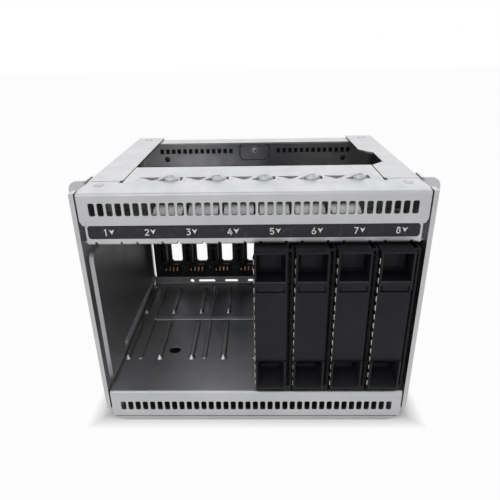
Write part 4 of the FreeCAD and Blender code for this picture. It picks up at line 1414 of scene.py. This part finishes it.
@dataclass
class Studio:
    """The floor, the lamps, the world and the camera."""

    camera_place: Size = (3.013 * MM, -236.81 * MM, 175.17 * MM)
    camera_turn: Size = (65.711, 0.937, 0.952)
    lens: float = 33.335
    sensor: float = 36.0
    near_clip: float = 0.01
    floor_half: float = 3.0
    floor_levels: Pair = (-0.01, -0.2 * MM)
    footprint: Pair = (80 * MM, 59 * MM)
    glow_edge: Pair = (-4 * MM, 5 * MM)
    glow: float = 0.95
    shade_edge: Pair = (-10 * MM, -5 * MM)
    shade: Colour = (0.03, 0.03, 0.03)
    pale: Colour = (0.86, 0.86, 0.86)
    fill_turn: Pair = (-0.2, 0.7)
    fill: Pair = (0.80, 0.08)  # towards the front, and from behind

    LAMPS = (Lamp("crown", (0, 0.24, 0.34), (0.95, 0.34), 0.55, (0, -0.03, 0.12)),
             Lamp("key", (-0.3, -0.9, 1.1), (0.6, 0.6), 1.6))

    def floor(self) -> None:
        """Lays a pale floor that the camera sees as near white."""
        half, (low, high) = self.floor_half, self.floor_levels
        slabs = [slab((-half, -half, low), (half, half, high))]
        piece_from("studio_floor", slabs, self.floor_material())

    def floor_material(self) -> Material:
        """Builds a matt white that keeps a faint shadow, with painted shade under the cage.

        Returns:
            The material.
        """
        shader = Shader("studio_white")
        shader.uniform(Roughness=0.9)
        across = shader.add("ShaderNodeSeparateXYZ", {0: shader.place})
        beyond = [shader.combined(shader.combined(axis, operation="ABSOLUTE"), half, "SUBTRACT")
                  for axis, half in zip(across.outputs[:2], self.footprint)]
        distance = shader.combined(*beyond, "MAXIMUM")
        outside = shader.graded(distance, *self.glow_edge, 0.0, self.glow)
        rays = shader.add("ShaderNodeLightPath").outputs
        seen = shader.combined(rays["Is Camera Ray"], rays["Is Glossy Ray"], "MAXIMUM")
        seen = shader.combined(seen, rays["Is Transmission Ray"], "MAXIMUM")
        # Painted shade: the base colour turns near black under the cage's footprint.
        under = shader.graded(distance, *self.shade_edge)
        shader.connect("Base Color", shader.blended(under, self.shade, self.pale))
        glow = shader.add("ShaderNodeEmission", {"Color": (1, 1, 1, 1), "Strength": 1.0})
        mixed = shader.add("ShaderNodeMixShader", {
            0: shader.combined(seen, outside), 1: shader.surface.outputs[0], 2: glow.outputs[0]})
        output = shader.tree.nodes["Material Output"]
        shader.tree.links.new(mixed.outputs[0], output.inputs["Surface"])
        return shader.material

    def world(self) -> None:
        """Sets a plain white surround for the camera and reflections, and a soft fill."""
        world = bpy.data.worlds.new("studio")
        bpy.context.scene.world = world
        world.use_nodes = True
        tree = world.node_tree
        rays = wire(tree, "ShaderNodeLightPath").outputs
        clear = rays["Is Camera Ray"]
        for kind in ("Is Transmission Ray", "Is Glossy Ray"):
            values = {0: clear, 1: rays[kind]}
            clear = wire(tree, "ShaderNodeMath", values, operation="MAXIMUM").outputs[0]
        toward = wire(tree, "ShaderNodeTexCoord").outputs["Generated"]
        axes = wire(tree, "ShaderNodeSeparateXYZ", {0: toward})
        soft = wire(tree, "ShaderNodeMapRange", {
            "Value": axes.outputs["Y"], "From Min": self.fill_turn[0],
            "From Max": self.fill_turn[1], "To Min": self.fill[0], "To Max": self.fill[1]},
            interpolation_type="SMOOTHSTEP")
        level = wire(tree, "ShaderNodeMapRange", {
            "Value": clear, "To Min": soft.outputs[0], "To Max": 1.0})
        background = tree.nodes["Background"]
        background.inputs["Color"].default_value = (1, 1, 1, 1)
        tree.links.new(level.outputs[0], background.inputs["Strength"])

    def camera(self) -> None:
        """Sets the camera at its place."""
        lens = bpy.data.cameras.new("camera")
        lens.lens = self.lens
        lens.sensor_width = self.sensor
        lens.clip_start = self.near_clip
        seat = linked(bpy.data.objects.new("camera", lens))
        seat.location = self.camera_place
        seat.rotation_euler = Euler([math.radians(angle) for angle in self.camera_turn], "XYZ")
        bpy.context.scene.camera = seat

    def build(self) -> None:
        """Builds the whole studio."""
        bpy.context.scene.view_settings.view_transform = "Standard"
        self.floor()
        self.world()
        for lamp in self.LAMPS:
            lamp.hang()
        self.camera()


def main() -> None:
    """Loads the frame and builds the dressed cage."""
    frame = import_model()
    palette = Palette()
    fittings = Fittings()
    Studio().build()
    Sheetwork(frame, palette, fittings).build()
    NumberStrip(frame, palette, fittings).build()
    Backplane(frame, palette, fittings).build()
    for bay in BLANK_BAYS:
        BayBlank(frame, palette, fittings, bay).build()


if __name__ == "__main__":
    logging.basicConfig(level=logging.INFO, format="%(message)s")
    main()
